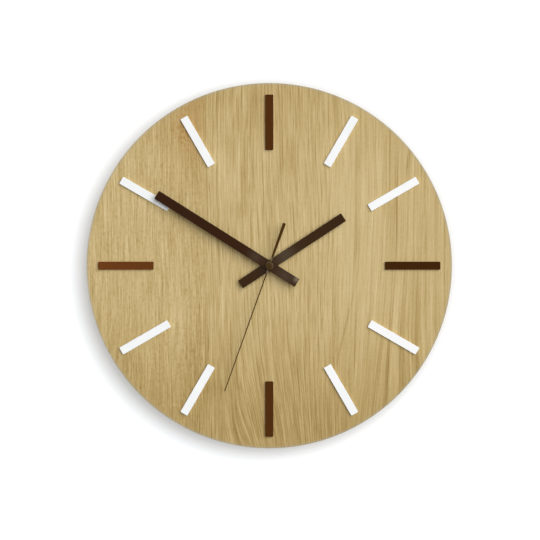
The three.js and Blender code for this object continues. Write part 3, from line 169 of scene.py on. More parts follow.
class Wire:
    """A shader output that can stand in a Python expression."""

    def __init__(self, paint, socket):
        self.paint = paint
        self.socket = socket

    def maths(self, operation, first, second=0.0):
        return self.paint.node("ShaderNodeMath", {"operation": operation}, {0: first, 1: second})

    def __add__(self, other):
        return self.maths("ADD", self, other)

    def __radd__(self, other):
        return self.maths("ADD", other, self)

    def __sub__(self, other):
        return self.maths("SUBTRACT", self, other)

    def __rsub__(self, other):
        return self.maths("SUBTRACT", other, self)

    def __mul__(self, other):
        return self.maths("MULTIPLY", self, other)

    def __rmul__(self, other):
        return self.maths("MULTIPLY", other, self)

    def __truediv__(self, other):
        return self.maths("DIVIDE", self, other)

    def __pow__(self, other):
        return self.maths("POWER", self, other)

    def __abs__(self):
        return self.maths("ABSOLUTE", self)

    def exp(self):
        return self.maths("EXPONENT", self)

    def smaller(self, other):
        return self.maths("MINIMUM", self, other)

    def fraction(self):
        return self.maths("FRACT", self)

    def ramp_between(self, start, end):
        """0 below start and 1 above end, eased between them."""
        settings = {"interpolation_type": "SMOOTHSTEP"}
        return self.paint.node(
            "ShaderNodeMapRange", settings, {"Value": self, "From Min": start, "From Max": end}
        )

    def bell(self, middle, spread):
        """1 at middle, falling to nothing a few spreads away."""
        off = (self - middle) / spread
        return (0.0 - off * off).exp()


class Paint:
    """One material: its Principled shader, and the nodes that feed it."""

    def __init__(self, name, **constants):
        self.material = bpy.data.materials.new(name)
        self.material.use_nodes = True
        self.tree = self.material.node_tree
        self.shader = self.tree.nodes["Principled BSDF"]
        for socket, value in constants.items():
            self.shader.inputs[socket.replace("_", " ")].default_value = value

    def node(self, kind, settings, values, output=0):
        """Adds a node. Settings come first, then the values or wires of its sockets."""
        made = self.tree.nodes.new(kind)
        for name, value in settings.items():
            if name == "stops":
                self.set_stops(made.color_ramp, value)
            else:
                setattr(made, name, value)
        for name, value in values.items():
            if isinstance(value, Wire):
                self.tree.links.new(value.socket, made.inputs[name])
            else:
                made.inputs[name].default_value = value
        return None if output is None else Wire(self, made.outputs[output])

    def set_stops(self, ramp, stops):
        while len(ramp.elements) < len(stops):
            ramp.elements.new(0.5)
        for element, (position, colour) in zip(ramp.elements, stops):
            element.position = position
            element.color = colour

    def place(self):
        """The point in object space, in millimetres, as three wires."""
        point = self.node("ShaderNodeTexCoord", {}, {}, "Object")
        split = self.tree.nodes.new("ShaderNodeSeparateXYZ")
        self.tree.links.new(point.socket, split.inputs[0])
        return [Wire(self, split.outputs[axis]) * (1 / MM) for axis in "XYZ"]

    def noise(self, x, y, z=0.0, detail=2.0, roughness=0.5):
        """Clouds about one unit across, from 0 to 1 with most of them near a half."""
        vector = self.node("ShaderNodeCombineXYZ", {}, {0: x, 1: y, 2: z})
        values = {"Vector": vector, "Scale": 1.0, "Detail": detail, "Roughness": roughness}
        return self.node("ShaderNodeTexNoise", {}, values)

    def growth_lines(self, line, z, pitch, layer):
        """Thin lines about a pitch apart, each sharp on one side and fading on the other."""
        shift = self.noise(line * (0.4 / pitch), z * 0.002, layer, detail=1.0) * 2.0
        beside = (line / pitch + shift).fraction() * pitch
        return (beside * -1.5).exp() + (beside * (-2.6 / pitch)).exp() * 0.45

    def blend(self, share, first, second):
        """Colour first where share is 0, and second where it is 1."""
        settings = {"data_type": "RGBA"}
        values = {"Factor": share, 6: first, 7: second}
        return self.node("ShaderNodeMix", settings, values, 2)

    def cover(self, **wires):
        for socket, wire in wires.items():
            self.tree.links.new(wire.socket, self.shader.inputs[socket.replace("_", " ")])

    def relief(self, height, depth):
        """Bumps the surface by height, which runs from 0 to 1, to that depth."""
        values = {"Strength": 1.0, "Distance": depth, "Height": height}
        self.cover(Normal=self.node("ShaderNodeBump", {}, values))


class Sky(Paint):
    """The world's nodes, built in the same way as a material's."""

    def __init__(self, world):
        world.use_nodes = True
        self.tree = world.node_tree
        self.tree.nodes.clear()


# Finishes

def from_axis(x, z):
    """How far a point lies from the hands' axis."""
    return (x * x + z * z) ** 0.5


def oak_lines(paint, x, z, left, seed):
    """The place of a point across the lines of the grain, and two of the waves in these lines.

    The lines are straight at the left, and close on one another towards the foot.
    """
    sweep = (x.bell(4, 40) - 0.72 * x.bell(90, 27)) * (0.07 * z - 0.00024 * z * z)
    dip = (z + 40).smaller(0.0)
    sweep = sweep - 0.0003 * x.bell(-17, 17) * dip * dip
    drift = (paint.noise(x * 0.012 + seed, z * 0.004, detail=1.0) - 0.5) * 14
    wander = (paint.noise(x * 0.05 + seed, z * 0.012, 3.1, detail=1.0) - 0.5) * 3
    tremble = (paint.noise(x * 0.25 + seed, z * 0.05, 5.7, detail=1.0) - 0.5) * 0.5
    line = x + sweep + drift + wander + tremble + left * 7.7 + seed * 37
    return line, wander, tremble


def oak_rings(paint, line, z, left, right):
    """The shade of the growth rings, thin dark lines along the grain, boldest at the right."""
    strength = paint.noise(line * 0.3, z * 0.024, 8.0, detail=1.0).ramp_between(0.35, 0.65)
    bold_strength = paint.noise(line * 0.16, z * 0.006, 9.0, detail=0.5).ramp_between(0.3, 0.6)
    veins = paint.growth_lines(line, z, 3.3, 11.0)
    bold = paint.growth_lines(line, z, 11.5, 12.0)
    fine_rings = (veins * strength - 0.15) * (0.2 - 0.15 * left - 0.1 * right)
    return fine_rings + (bold * bold_strength - 0.2) * (0.08 + 0.13 * right)


def oak(name, seed, with_stains, dark_rings):
    """Oak veneer in three leaves. Tone runs from 0, dark, to 1, pale; the grain runs up the face.

    Each of the dark rings is (x, lean, z of the middle, reach, depth), in millimetres.
    """
    paint = Paint(name, Specular_IOR_Level=0.2)
    x, _, z = paint.place()

    # How far a point belongs to the left leaf, to the right leaf and to the foot
    left = 1 - x.ramp_between(LEFT_JOINT - 0.3, LEFT_JOINT + 0.3)
    right = (x + 0.06 * z).ramp_between(44, 72)
    low = z.ramp_between(-20, -150)
    line, wander, tremble = oak_lines(paint, x, z, left, seed)

    # Bands and streaks from broad to fine, then the short dashes, pores and flecks on them
    broad = paint.noise(line * 0.07, z * 0.004, 1.0, detail=1.5) - 0.5
    bands = paint.noise(line * 0.2, z * 0.005, 2.0, detail=1.0) - 0.5
    streaks = paint.noise(line * 0.5, z * 0.008, 3.0, detail=1.0, roughness=0.6) - 0.5
    stretch = 0.017 + 0.012 * left
    fine = paint.noise(line * 0.95, z * stretch, 4.0, detail=2.0, roughness=0.7) - 0.5
    dashes = paint.noise(line * 1.05, z * (0.05 + 0.1 * left), 5.0, detail=1.0)
    dash_marks = dashes.ramp_between(0.55, 0.68)
    pores = paint.noise(line * 3.6, z * 0.22, 6.0, detail=1.0)
    pore_marks = pores.ramp_between(0.58, 0.72)
    flecks = paint.noise(x * 0.5 + seed, z * 0.33, 7.0, detail=2.0) - 0.5

    # Each mark darkens or lightens the tone by its own share, which differs between the leaves
    tone = 0.465 + broad * (0.08 + 0.1 * right) + bands * (0.1 + 0.14 * right)
    tone = tone + streaks * 0.38 + fine * (1.0 - 0.5 * right)
    tone = tone - (dash_marks - 0.3) * (0.13 - 0.06 * right) - (pore_marks - 0.2) * 0.06
    tone = tone - oak_rings(paint, line, z, left, right)
    tone = tone + flecks * (0.14 + 0.14 * left)

    for across, lean, middle, reach, depth in dark_rings:
        off = x + wander * 0.3 + tremble * 1.5 - (z - middle) * lean - across
        tone = tone - z.bell(middle, reach) * (abs(off) * -1.4).exp() * depth

    # The veneer is darker at the head and the foot, and palest right of the middle
    tone = tone - low * (0.22 + 0.01 * right) - z.ramp_between(80, 160) * 0.1
    tone = tone + x.bell(80, 26) * (1 - 0.6 * low) * 0.08 - x.bell(-66, 9) * 0.05

    stops = [
        (0.0, srgb(147, 118, 65)),
        (0.3, srgb(176, 150, 95)),
        (0.5, srgb(196, 172, 119)),
        (0.72, srgb(212, 190, 140)),
        (1.0, srgb(233, 216, 171)),
    ]
    colour = paint.node("ShaderNodeValToRGB", {"stops": stops}, {"Fac": tone})
    if with_stains:
        # Small orange knots near the head of the left leaf
        mottle = paint.noise(x * 0.42, z * 0.3, 9.0, detail=2.0, roughness=0.6)
        knots = x.bell(-77, 9) * z.bell(122, 18) + 0.6 * x.bell(-106, 8) * z.bell(73, 9)
        warm = left * x.bell(-70, 20) * z.ramp_between(50, 120)
        share = (knots * (mottle - 0.42) * 5.5).ramp_between(0.0, 1.0)
        colour = paint.blend(warm * 0.36 + share * 0.64, colour, srgb(172, 130, 70))
    # The edge of the face is painted greyer and a little darker, as shade on its rounded arris
    edge = from_axis(x, z).ramp_between(FACE_RADIUS - 2.2, FACE_RADIUS - 0.7)
    colour = paint.blend(edge * 0.38, colour, srgb(168, 166, 152))
    paint.cover(Base_Color=colour, Roughness=0.5 + (0.5 - tone) * 0.3)
    paint.relief(1 - pore_marks * 0.7 - dash_marks * 0.3 + fine * 0.5, 0.05 * MM)
    return paint.material


def acrylic(name, gloss, unevenness, left_colour, middle_colour, right_colour):
    """Cast acrylic, polished in front and sawn at the sides, a little uneven in colour."""
    paint = Paint(name, Specular_IOR_Level=gloss)
    x, y, z = paint.place()
    cloud = paint.noise(x * 0.05, y * 0.05, z * 0.05, detail=2.0) - 0.5
    # The ramp across the face is painted reflection: brown bars lighter at the left, white greyer
    across = x / FACE_RADIUS * 0.5 + 0.5 + cloud * unevenness
    stops = [(0.05, left_colour), (0.5, middle_colour), (0.83, right_colour)]
    colour = paint.node("ShaderNodeValToRGB", {"stops": stops}, {"Fac": across})
    haze = paint.noise(x * 1.3, y * 1.3, z * 1.3, detail=3.0)
    paint.cover(Base_Color=colour, Roughness=0.1 + haze * 0.08)
    return paint.material


def lacquer(name, dark, pale, coat, sheen_spots):
    """Dark brown lacquer on thin metal. Each spot of painted sheen is (x, z, spread, share)."""
    paint = Paint(name, Specular_IOR_Level=0.02, Coat_Weight=coat, Coat_Roughness=0.05)
    x, y, z = paint.place()
    cloud = paint.noise(x * 0.06, y, z * 0.06, detail=2.0) - 0.5
    grain = paint.noise(x * 3, y * 3, z * 3, detail=2.0)
    painted_sheen = 0.0
    for across, up, spread, share in sheen_spots:
        painted_sheen = x.bell(across, spread) * z.bell(up, spread) * share + painted_sheen
    colour = paint.blend(0.5 + cloud, dark, pale)
    # The spots blend a greyish painted highlight into the lacquer, standing in for its sheen
    colour = paint.blend(painted_sheen * (0.6 + grain * 0.8), colour, srgb(152, 140, 116))
    paint.cover(Base_Color=colour, Roughness=0.3 + grain * 0.12)
    return paint.material


def cap_lacquer(name):
    """Glossy olive brown, as on the moulded cap over the hands."""
    paint = Paint(name, Specular_IOR_Level=0.08)
    x, y, z = paint.place()
    cloud = paint.noise(x * 0.4, y * 0.4, z * 0.4, detail=2.0)
    # The pale ring round the rim is a painted glint on the cap's rounded edge
    rim = from_axis(x, z).ramp_between(2.7, 3.2) * cloud.ramp_between(0.2, 0.6)
    colour = paint.blend(cloud, srgb(61, 42, 8), srgb(69, 48, 13))
    colour = paint.blend(rim * 0.3, colour, srgb(150, 132, 104))
    paint.cover(Base_Color=colour, Roughness=0.16 + cloud * 0.08)
    return paint.material


def plastic(name, colour, pale, roughness):
    """Moulded plastic: a fine spark-eroded texture and faint flow marks."""
    paint = Paint(name, Specular_IOR_Level=0.45)
    x, y, z = paint.place()
    texture = paint.noise(x * 4, y * 4, z * 4, detail=3.0, roughness=0.7)
    flow = paint.noise(x * 0.09, y * 0.09, z * 0.2, detail=2.0)
    paint.cover(
        Base_Color=paint.blend(flow.ramp_between(0.3, 0.75), colour, pale),
        Roughness=roughness + (texture - 0.5) * 0.22,
    )
    paint.relief(texture, 0.02 * MM)
    return paint.material


def metal(name, colour, tarnish, roughness):
    """Rolled or drawn metal, with fine lines across its height and some tarnish."""
    paint = Paint(name, Metallic=1.0)
    x, y, z = paint.place()
    lines = paint.noise(x * 0.6, y * 0.6, z * 6.0, detail=4.0, roughness=0.7)
    spots = paint.noise(x * 0.35, y * 0.35, z * 0.35, detail=4.0)
    paint.cover(
        Base_Color=paint.blend(spots.ramp_between(0.45, 0.8), colour, tarnish),
        Roughness=roughness + (lines - 0.5) * 0.3,
    )
    paint.relief(lines, 0.006 * MM)
    return paint.material


def cell_wrap(name):
    """Shrunk-on plastic film: plain grey green, with a dark band at the positive end."""
    paint = Paint(name, Specular_IOR_Level=0.5, Coat_Weight=0.3)
    x, y, z = paint.place()
    band, ring_start, ring_end = [
        x.ramp_between(place - 0.1, place + 0.1)
        for place in (SLEEVE_BAND_START, SLEEVE_RING_START, SLEEVE_RING_END)
    ]
    ring = ring_start * (1 - ring_end)
    scuffs = paint.noise(x * 0.8, y * 3.0, z * 3.0, detail=4.0, roughness=0.7)
    film = paint.blend(scuffs, srgb(112, 124, 118), srgb(128, 139, 132))
    colour = paint.blend(ring, paint.blend(band, film, srgb(34, 36, 38)), srgb(190, 192, 188))
    paint.cover(Base_Color=colour, Roughness=0.2 + scuffs * 0.16)
    paint.relief(scuffs, 0.008 * MM)
    return paint.material


def fibreboard(name):
    """Pressed wood fibre, browned where the cutter has passed."""
    paint = Paint(name, Specular_IOR_Level=0.2, Roughness=0.85)
    x, y, z = paint.place()
    layers = paint.noise(x * 0.05, y * 2.6, z * 0.05, detail=3.0)
    fibres = paint.noise(x * 1.1, y * 4.0, z * 1.1, detail=4.0, roughness=0.7)
    colour = paint.blend(layers.ramp_between(0.3, 0.7), srgb(112, 78, 44), srgb(146, 108, 66))
    colour = paint.blend(fibres.ramp_between(0.52, 0.8), colour, srgb(86, 58, 32))
    paint.cover(Base_Color=colour)
    paint.relief(fibres, 0.06 * MM)
    return paint.material


def foam(name):
    """Closed-cell foam tape."""
    paint = Paint(name, Specular_IOR_Level=0.2, Roughness=0.9)
    x, y, z = paint.place()
    cells = paint.noise(x * 2.2, y * 2.2, z * 2.2, detail=3.0)
    paint.cover(Base_Color=paint.blend(cells, srgb(206, 204, 198), srgb(238, 237, 232)))
    paint.relief(cells, 0.12 * MM)
    return paint.material


# The boldest rings of the face
FACE_RINGS = [
    (78.5, 0.0, 65, 60, 0.3),
    (115.2, 0.012, 60, 55, 0.38),
    (88, 0.0, 115, 22, 0.2),
    (125, 0.1, 94, 14, 0.25),
    (141.6, 0.0, 22, 25, 0.2),
    (68.4, 0.24, -57, 30, 0.3),
    (107.3, 0.068, -72, 50, 0.26),
    (121, 0.1, -42, 18, 0.12),
    (134.5, 0.05, -60, 22, 0.16),
]
OAK_FACE = oak("oak_face", 0.0, True, FACE_RINGS)
OAK_BACK = oak("oak_back", 5.3, False, [])
FIBRE = fibreboard("fibreboard_core")
# Each acrylic's three colours run from the left of the face to the right: a painted reflection
BROWN = acrylic("brown_acrylic", 0.04, 0.12, srgb(106, 59, 22), srgb(77, 42, 9), srgb(62, 32, 3))
WHITE = acrylic(
    "white_acrylic", 0.3, 2.5, srgb(244, 246, 246), srgb(247, 248, 248), srgb(250, 250, 250)
)
# Each hand's list of spots places painted sheen: highlights near the hub and at a tail's end
HOUR_LACQUER = lacquer(
    "hour_hand_lacquer", srgb(51, 31, 13), srgb(59, 38, 17), 0.05, [(14.5, 9.5, 8, 0.11)]
)
MINUTE_LACQUER = lacquer(
    "minute_hand_lacquer", srgb(47, 24, 8), srgb(55, 31, 14), 0.05,
    [(-13.0, 8.2, 6, 0.09), (14.5, -9.2, 8, 0.09), (24.6, -12.6, 2.6, 0.5)],
)
SECOND_LACQUER = lacquer(
    "second_hand_lacquer", srgb(66, 45, 11), srgb(72, 50, 16), 0.0,
    [(-1.9, -5.4, 1.6, 0.5), (2.0, 5.6, 1.6, 0.5)],
)
CAP = cap_lacquer("cap_lacquer")
BLACK = plastic("black_plastic", srgb(26, 26, 28), srgb(34, 34, 37), 0.48)
KNOB = plastic("knob_plastic", srgb(158, 158, 154), srgb(170, 170, 165), 0.42)
NYLON = plastic("nylon", srgb(226, 222, 210), srgb(236, 233, 224), 0.45)
BRASS = metal("brass", srgb(200, 165, 92), srgb(150, 112, 55), 0.3)
STEEL = metal("steel", srgb(190, 192, 196), srgb(150, 150, 152), 0.28)
MAGNET = metal("magnet", srgb(92, 94, 98), srgb(70, 70, 74), 0.42)
COPPER = metal("copper_wire", srgb(184, 98, 52), srgb(132, 62, 32), 0.3)
CIRCUIT = plastic("circuit_laminate", srgb(38, 92, 50), srgb(48, 108, 60), 0.35)
RESIN = plastic("black_resin", srgb(14, 14, 15), srgb(20, 20, 22), 0.2)
SLEEVE = cell_wrap("cell_sleeve")
FOAM = foam("foam_tape")

# The CAD solids that stay in the model
NODE_FINISHES = {
    NYLON: [
        "middle_plate", "hour_wheel", "motion_wheel", "centre_wheel", "third_wheel",
        "seconds_wheel", "intermediate_wheel", "rotor_pinion", "coil_bobbin",
    ],
    BRASS: ["cannon_pinion", "clutch_spring", "second_hand_tube"],
    STEEL: [
        "seconds_arbor", "stator", "coil_core", "quartz_crystal", "positive_contact",
        "negative_contact",
    ],
    MAGNET: ["rotor_magnet"],
    CIRCUIT: ["circuit_board"],
    RESIN: ["controller_chip"],
}


def finish_nodes():
    """Gives each CAD solid that stays its finish."""
    for material, names in NODE_FINISHES.items():
        for name in names:
            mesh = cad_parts[name].data
            mesh.materials.clear()
            mesh.materials.append(material)


# Modelling by hand: an object is added, shaped in edit mode, and left with its place in its mesh

def deselect_all():
    if bpy.context.object and bpy.context.object.mode != "OBJECT":
        bpy.ops.object.mode_set(mode="OBJECT")
    bpy.ops.object.select_all(action="DESELECT")


def select_only(piece):
    deselect_all()
    piece.select_set(True)
    bpy.context.view_layer.objects.active = piece


def apply_place(piece):
    """Moves an object's place and turn into its mesh."""
    select_only(piece)
    bpy.ops.object.transform_apply(location=True, rotation=True, scale=True)


def apply_modifier(piece, name, kind, **settings):
    select_only(piece)
    modifier = piece.modifiers.new(name, kind)
    for setting, value in settings.items():
        setattr(modifier, setting, value)
    bpy.ops.object.modifier_apply(modifier=modifier.name)


def edges_where(piece, test):
    """Selects the edges whose two ends pass the test."""
    bpy.ops.mesh.select_mode(type="EDGE")
    bpy.ops.mesh.select_all(action="DESELECT")
    mesh = bmesh.from_edit_mesh(piece.data)
    for edge in mesh.edges:
        edge.select = test(*[piece.matrix_world @ vertex.co for vertex in edge.verts])
    mesh.select_flush_mode()
    bmesh.update_edit_mesh(piece.data)


def round_corners(piece, radius, segments):
    """Rounds the four corners of a block that stands upright on the wall."""
    def through_thickness(a, b):
        return abs(a.x - b.x) < SAME_POINT and abs(a.z - b.z) < SAME_POINT
    edges_where(piece, through_thickness)
    bpy.ops.mesh.bevel(offset=radius, segments=segments, affect="EDGES")


def settle(piece, material, name):
    """Applies the object's place to its mesh, shades it and names it."""
    apply_place(piece)
    bpy.ops.object.shade_smooth_by_angle(angle=math.radians(SMOOTH_ANGLE))
    apply_modifier(piece, "even", "WEIGHTED_NORMAL", keep_sharp=True)
    piece.name = name
    piece.data.name = name
    piece.data.materials.clear()
    piece.data.materials.append(material)


def block(low, high):
    """A block between two corners, left in edit mode with everything selected."""
    deselect_all()
    low, high = Vector(low), Vector(high)
    bpy.ops.mesh.primitive_cube_add(size=1, location=(low + high) / 2)
    piece = bpy.context.object
    piece.scale = high - low
    bpy.ops.object.transform_apply(location=True, scale=True)
    bpy.ops.object.mode_set(mode="EDIT")
    return piece


def turned(profile, steps, axis_at=(0.0, 0.0)):
    """Spins a line of (radius, depth) points about an axis square to the face."""
    deselect_all()
    across, up = axis_at
    points = [Vector((across + radius, -depth, up)) for radius, depth in profile]
    bpy.ops.mesh.primitive_plane_add(size=MM, location=points[0])
    piece = bpy.context.object
    bpy.ops.object.transform_apply(location=True)
    bpy.ops.object.mode_set(mode="EDIT")
    bpy.ops.mesh.select_mode(type="VERT")
    bpy.ops.mesh.select_all(action="SELECT")
    bpy.ops.mesh.merge(type="CENTER")
    for start, end in zip(points, points[1:] + points[:1]):
        bpy.ops.mesh.extrude_region_move(TRANSFORM_OT_translate={"value": end - start})
    bpy.ops.mesh.select_all(action="SELECT")
    bpy.ops.mesh.spin(steps=steps, angle=TURN, center=(across, 0, up), axis=(0, 1, 0))
    bpy.ops.mesh.select_all(action="SELECT")
    bpy.ops.mesh.remove_doubles(threshold=SAME_POINT)
    bpy.ops.mesh.normals_make_consistent(inside=False)
    bpy.ops.object.mode_set(mode="OBJECT")
    return piece


def rounded(corner, before, after, radius, steps=4):
    """The points of an arc that rounds one right-angled corner of a profile."""
    corner = Vector(corner)
    along_in = (Vector(before) - corner).normalized()
    along_out = (Vector(after) - corner).normalized()
    centre = corner + (along_in + along_out) * radius
    points = []
    for step in range(steps + 1):
        turn = math.pi / 2 * step / steps
        reach = along_out * math.cos(turn) + along_in * math.sin(turn)
        points.append(tuple(centre - reach * radius))
    return points


def depths(node):
    """How far a node's back and front stand out from the wall."""
    low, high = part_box(node)
    return -high.y, -low.y


def pointed_to(piece, degrees):
    """Turns a piece that points to 12 o'clock clockwise about the middle of the face."""
    piece.rotation_euler = (0, math.radians(degrees), 0)
    apply_place(piece)


def combine(piece, other, operation):
    """Joins or cuts a piece by another, which is then gone."""
    apply_modifier(piece, "combine", "BOOLEAN", operation=operation, solver="EXACT", object=other)
    bpy.data.objects.remove(other)
    bpy.ops.object.mode_set(mode="EDIT")
    bpy.ops.mesh.select_all(action="SELECT")
    bpy.ops.mesh.remove_doubles(threshold=SAME_POINT)
    bpy.ops.object.mode_set(mode="OBJECT")


def soften(piece, width, segments=3, angle=40):
    """Rounds every sharp edge of a piece."""
    apply_modifier(
        piece, "soften", "BEVEL", width=width, segments=segments, limit_method="ANGLE",
        angle_limit=math.radians(angle), harden_normals=False,
    )


def stand_for(piece, body, slot, *nodes):
    """Lets a piece ride on a body in the place of CAD nodes."""
    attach(piece, body)
    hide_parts(*nodes)


# Board

def board_layer(node, name, material, slot, front_rounding):
    back, front = depths(node)
    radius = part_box(node)[1].x
    profile = [(BOARD_BORE_RADIUS, back), (radius, back)]
    if front_rounding:
        profile += rounded((radius, front), (radius, back), (0, front), front_rounding)
    else:
        profile.append((radius, front))
    profile.append((BOARD_BORE_RADIUS, front))
    piece = turned(profile, BOARD_STEPS)
    settle(piece, material, name)
    stand_for(piece, "dial_and_case", slot, node)


def make_board():
    board_layer("front_veneer", "veneer_face", OAK_FACE, "oak_veneer", FACE_ROUNDING)
    board_layer("core_board", "fibreboard_disc", FIBRE, "core_board", 0)
    board_layer("back_veneer", "veneer_back", OAK_BACK, "oak_veneer", 0)


def make_hour_bars():
    """One bar is modelled at 12 o'clock and copied round the face."""
    low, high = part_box("hour_bar_12")
    front = low.y
    bar = block(low, high)
    round_corners(bar, BAR_CORNER, segments=6)
    edges_where(bar, lambda a, b: max(abs(a.y - front), abs(b.y - front)) < SAME_POINT)
    bpy.ops.mesh.bevel(offset=BAR_EDGE, segments=3, affect="EDGES")
    bpy.ops.object.mode_set(mode="OBJECT")
    for hour in range(1, HOURS + 1):
        quarter = hour % 3 == 0
        piece = bar.copy()
        piece.data = bar.data.copy()
        bpy.context.scene.collection.objects.link(piece)
        pointed_to(piece, 360 * hour / HOURS)
        settle(piece, BROWN if quarter else WHITE, f"acrylic_bar_{hour:02d}")
        slot = "brown_acrylic" if quarter else "white_acrylic"
        stand_for(piece, "dial_and_case", slot, f"hour_bar_{hour:02d}")
    bpy.data.objects.remove(bar)


# Hands

def bar_hand(node, name, material, reach, tail, angle, body):
    """A flat bar with a tail. It has no hole, so its bush and the tubes run through it."""
    back, front = depths(node)
    half = HAND_WIDTH / 2
    hand = block((-half, -front, -tail), (half, -back, reach))
    round_corners(hand, HAND_CORNER, segments=4)
    bpy.ops.object.mode_set(mode="OBJECT")
    soften(hand, HAND_EDGE)
    pointed_to(hand, angle)
    settle(hand, material, name)
    stand_for(hand, body, "hand_lacquer", node)


def tapered_strip(low, high, low_width, high_width, back, front):
    """A flat strip up the face, of one width at its low end and another at its high end."""
    half = low_width / 2
    strip = block((-half, -front, low), (half, -back, high))
    mesh = bmesh.from_edit_mesh(strip.data)
    for vertex in mesh.verts:
        if vertex.co.z > (low + high) / 2:
            vertex.co.x *= high_width / low_width
    bmesh.update_edit_mesh(strip.data)
    bpy.ops.object.mode_set(mode="OBJECT")
    return strip


def make_second_hand():
    back, front = depths("second_hand")
    blade = tapered_strip(0, SECOND_HAND_REACH, NEEDLE_ROOT_WIDTH, NEEDLE_TIP_WIDTH, back, front)
    neck = tapered_strip(-PADDLE_START, 0, NEEDLE_ROOT_WIDTH, NEEDLE_ROOT_WIDTH, back, front)
    paddle = tapered_strip(
        -SECOND_HAND_TAIL, -PADDLE_START, PADDLE_END_WIDTH, PADDLE_ROOT_WIDTH, back, front
    )
    disc = [(0, back), (SECOND_HUB_RADIUS, back), (SECOND_HUB_RADIUS, front), (0, front)]
    hub = turned(disc, BUSH_STEPS)
    for piece in (neck, paddle, hub):
        combine(blade, piece, "UNION")
    soften(blade, SECOND_EDGE, segments=2)
    pointed_to(blade, SECOND_HAND_ANGLE)
    settle(blade, SECOND_LACQUER, "second_hand_blade")
    stand_for(blade, "second_works", "hand_lacquer", "second_hand")


def make_hub_cap():
    back, front = depths("hub_cap")
    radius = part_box("hub_cap")[1].x
    shoulder = radius - CAP_ROUNDING
    crown = front - CAP_CROWN
    profile = [(0, back), (radius, back)]
    profile += rounded((radius, crown), (radius, back), (0, crown), CAP_ROUNDING, steps=8)
    profile += [
        (shoulder * (1 - share), crown + CAP_CROWN * (1 - (1 - share) ** 2))
        for share in (step / CROWN_STEPS for step in range(1, CROWN_STEPS + 1))
    ]
    cap = turned(profile, CAP_STEPS)
    settle(cap, CAP, "cap_dome")
    stand_for(cap, "second_works", "hand_lacquer", "hub_cap")


def make_hands():
    bar_hand(
        "hour_hand", "hour_hand_blade", HOUR_LACQUER, HOUR_HAND_REACH, HOUR_HAND_TAIL,
        HOUR_HAND_ANGLE, "hour_works",
    )
    bar_hand(
        "minute_hand", "minute_hand_blade", MINUTE_LACQUER, MINUTE_HAND_REACH, MINUTE_HAND_TAIL,
        MINUTE_HAND_ANGLE, "minute_works",
    )
    make_second_hand()
    make_hub_cap()


def make_bush(node, name, body, bore, spigot):
    """A brass bush: a collar behind the hand, and a spigot through it."""
    back, front = depths(node)
    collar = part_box(node)[1].x
    step = back + BUSH_COLLAR
    profile = [
        (bore, back), (collar - BUSH_BEAD, back), (collar, back + BUSH_BEAD), (collar, step),
        (spigot, step), (spigot, front - BUSH_BEAD), (spigot - BUSH_BEAD, front), (bore, front),
    ]
    bush = turned(profile, BUSH_STEPS)
    settle(bush, BRASS, name)
    stand_for(bush, body, "brass", node)


def make_bushes():
    make_bush(
        "hour_hand_bush", "hour_bush_turned", "hour_works",
        HOUR_BUSH_BORE_RADIUS, HOUR_BUSH_SPIGOT_RADIUS,
    )
    make_bush(
        "minute_hand_bush", "minute_bush_turned", "minute_works",
        MINUTE_BUSH_BORE_RADIUS, MINUTE_BUSH_SPIGOT_RADIUS,
    )


# Movement: the case that shows at the back, its knob, hanger and cell, and the coil inside it

def moulding(node, name, rounding):
    """The node's own form with its flat faces made whole and its edges rounded."""
    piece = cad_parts[node].copy()
    piece.data = piece.data.copy()
    bpy.context.scene.collection.objects.link(piece)
    select_only(piece)
    bpy.ops.object.mode_set(mode="EDIT")
    bpy.ops.mesh.select_all(action="SELECT")
    bpy.ops.mesh.remove_doubles(threshold=2 * SAME_POINT)
    bpy.ops.mesh.dissolve_limited(angle_limit=math.radians(FLAT_ANGLE))
    bpy.ops.object.mode_set(mode="OBJECT")
    soften(piece, rounding, segments=2, angle=30)
    settle(piece, BLACK, name)
    stand_for(piece, "dial_and_case", "case_plastic", node)


def make_case():
    moulding("movement_case", "case_moulding", CASE_EDGE)
    moulding("back_cover", "cover_moulding", COVER_EDGE)
    moulding("wall_hanger", "hanger_moulding", HANGER_EDGE)


def cut_flute(knob, radius, back, front, axis_at):
    profile = [(0, back - MM), (radius, back - MM), (radius, front + MM), (0, front + MM)]
    combine(knob, turned(profile, FLUTE_STEPS, axis_at), "DIFFERENCE")


def make_knob():
    """A turned button with grip flutes cut round its rim and a dished face to the back."""
    low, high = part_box("setting_knob")
    middle = (low + high) / 2
    axis = (middle.x, middle.z)
    radius = (high.x - low.x) / 2
    back, front = depths("setting_knob")
    floor = back + KNOB_DISH_DEPTH
    floor_share, brim_share = KNOB_DISH_SHARES
    dish = [(0, floor), (floor_share * radius, floor), (brim_share * radius, back)]
    rim = rounded((radius, back), (radius, front), (0, back), KNOB_ROUNDING)[::-1]
    bore_end = front - KNOB_BORE_SHARE * (front - back)
    bore = [(KNOB_BORE_RADIUS, front), (KNOB_BORE_RADIUS, bore_end), (0, bore_end)]
    knob = turned(dish + rim + [(radius, front)] + bore, KNOB_STEPS, axis)
    for step in range(KNOB_FLUTES):
        angle = TURN * (step + 0.5) / KNOB_FLUTES
        out = FLUTE_PLACE_SHARE * radius
        at = (axis[0] + out * math.cos(angle), axis[1] + out * math.sin(angle))
        cut_flute(knob, FLUTE_RADIUS_SHARE * radius, back, front, at)
    settle(knob, KNOB, "knob_button")
    stand_for(knob, "motion_works", "knob_plastic", "setting_knob")


def laid_along_bay(profile):
    """Turns a line of (radius, distance along the bay) points, and lays it in the bay."""
    low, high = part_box("battery_sleeve")
    middle = (low + high) / 2
    piece = turned([(radius, -along) for radius, along in profile], CELL_STEPS)
    piece.rotation_euler = (0, 0, -math.pi / 2)
    piece.location = (0, middle.y, middle.z)
    apply_place(piece)
    return piece


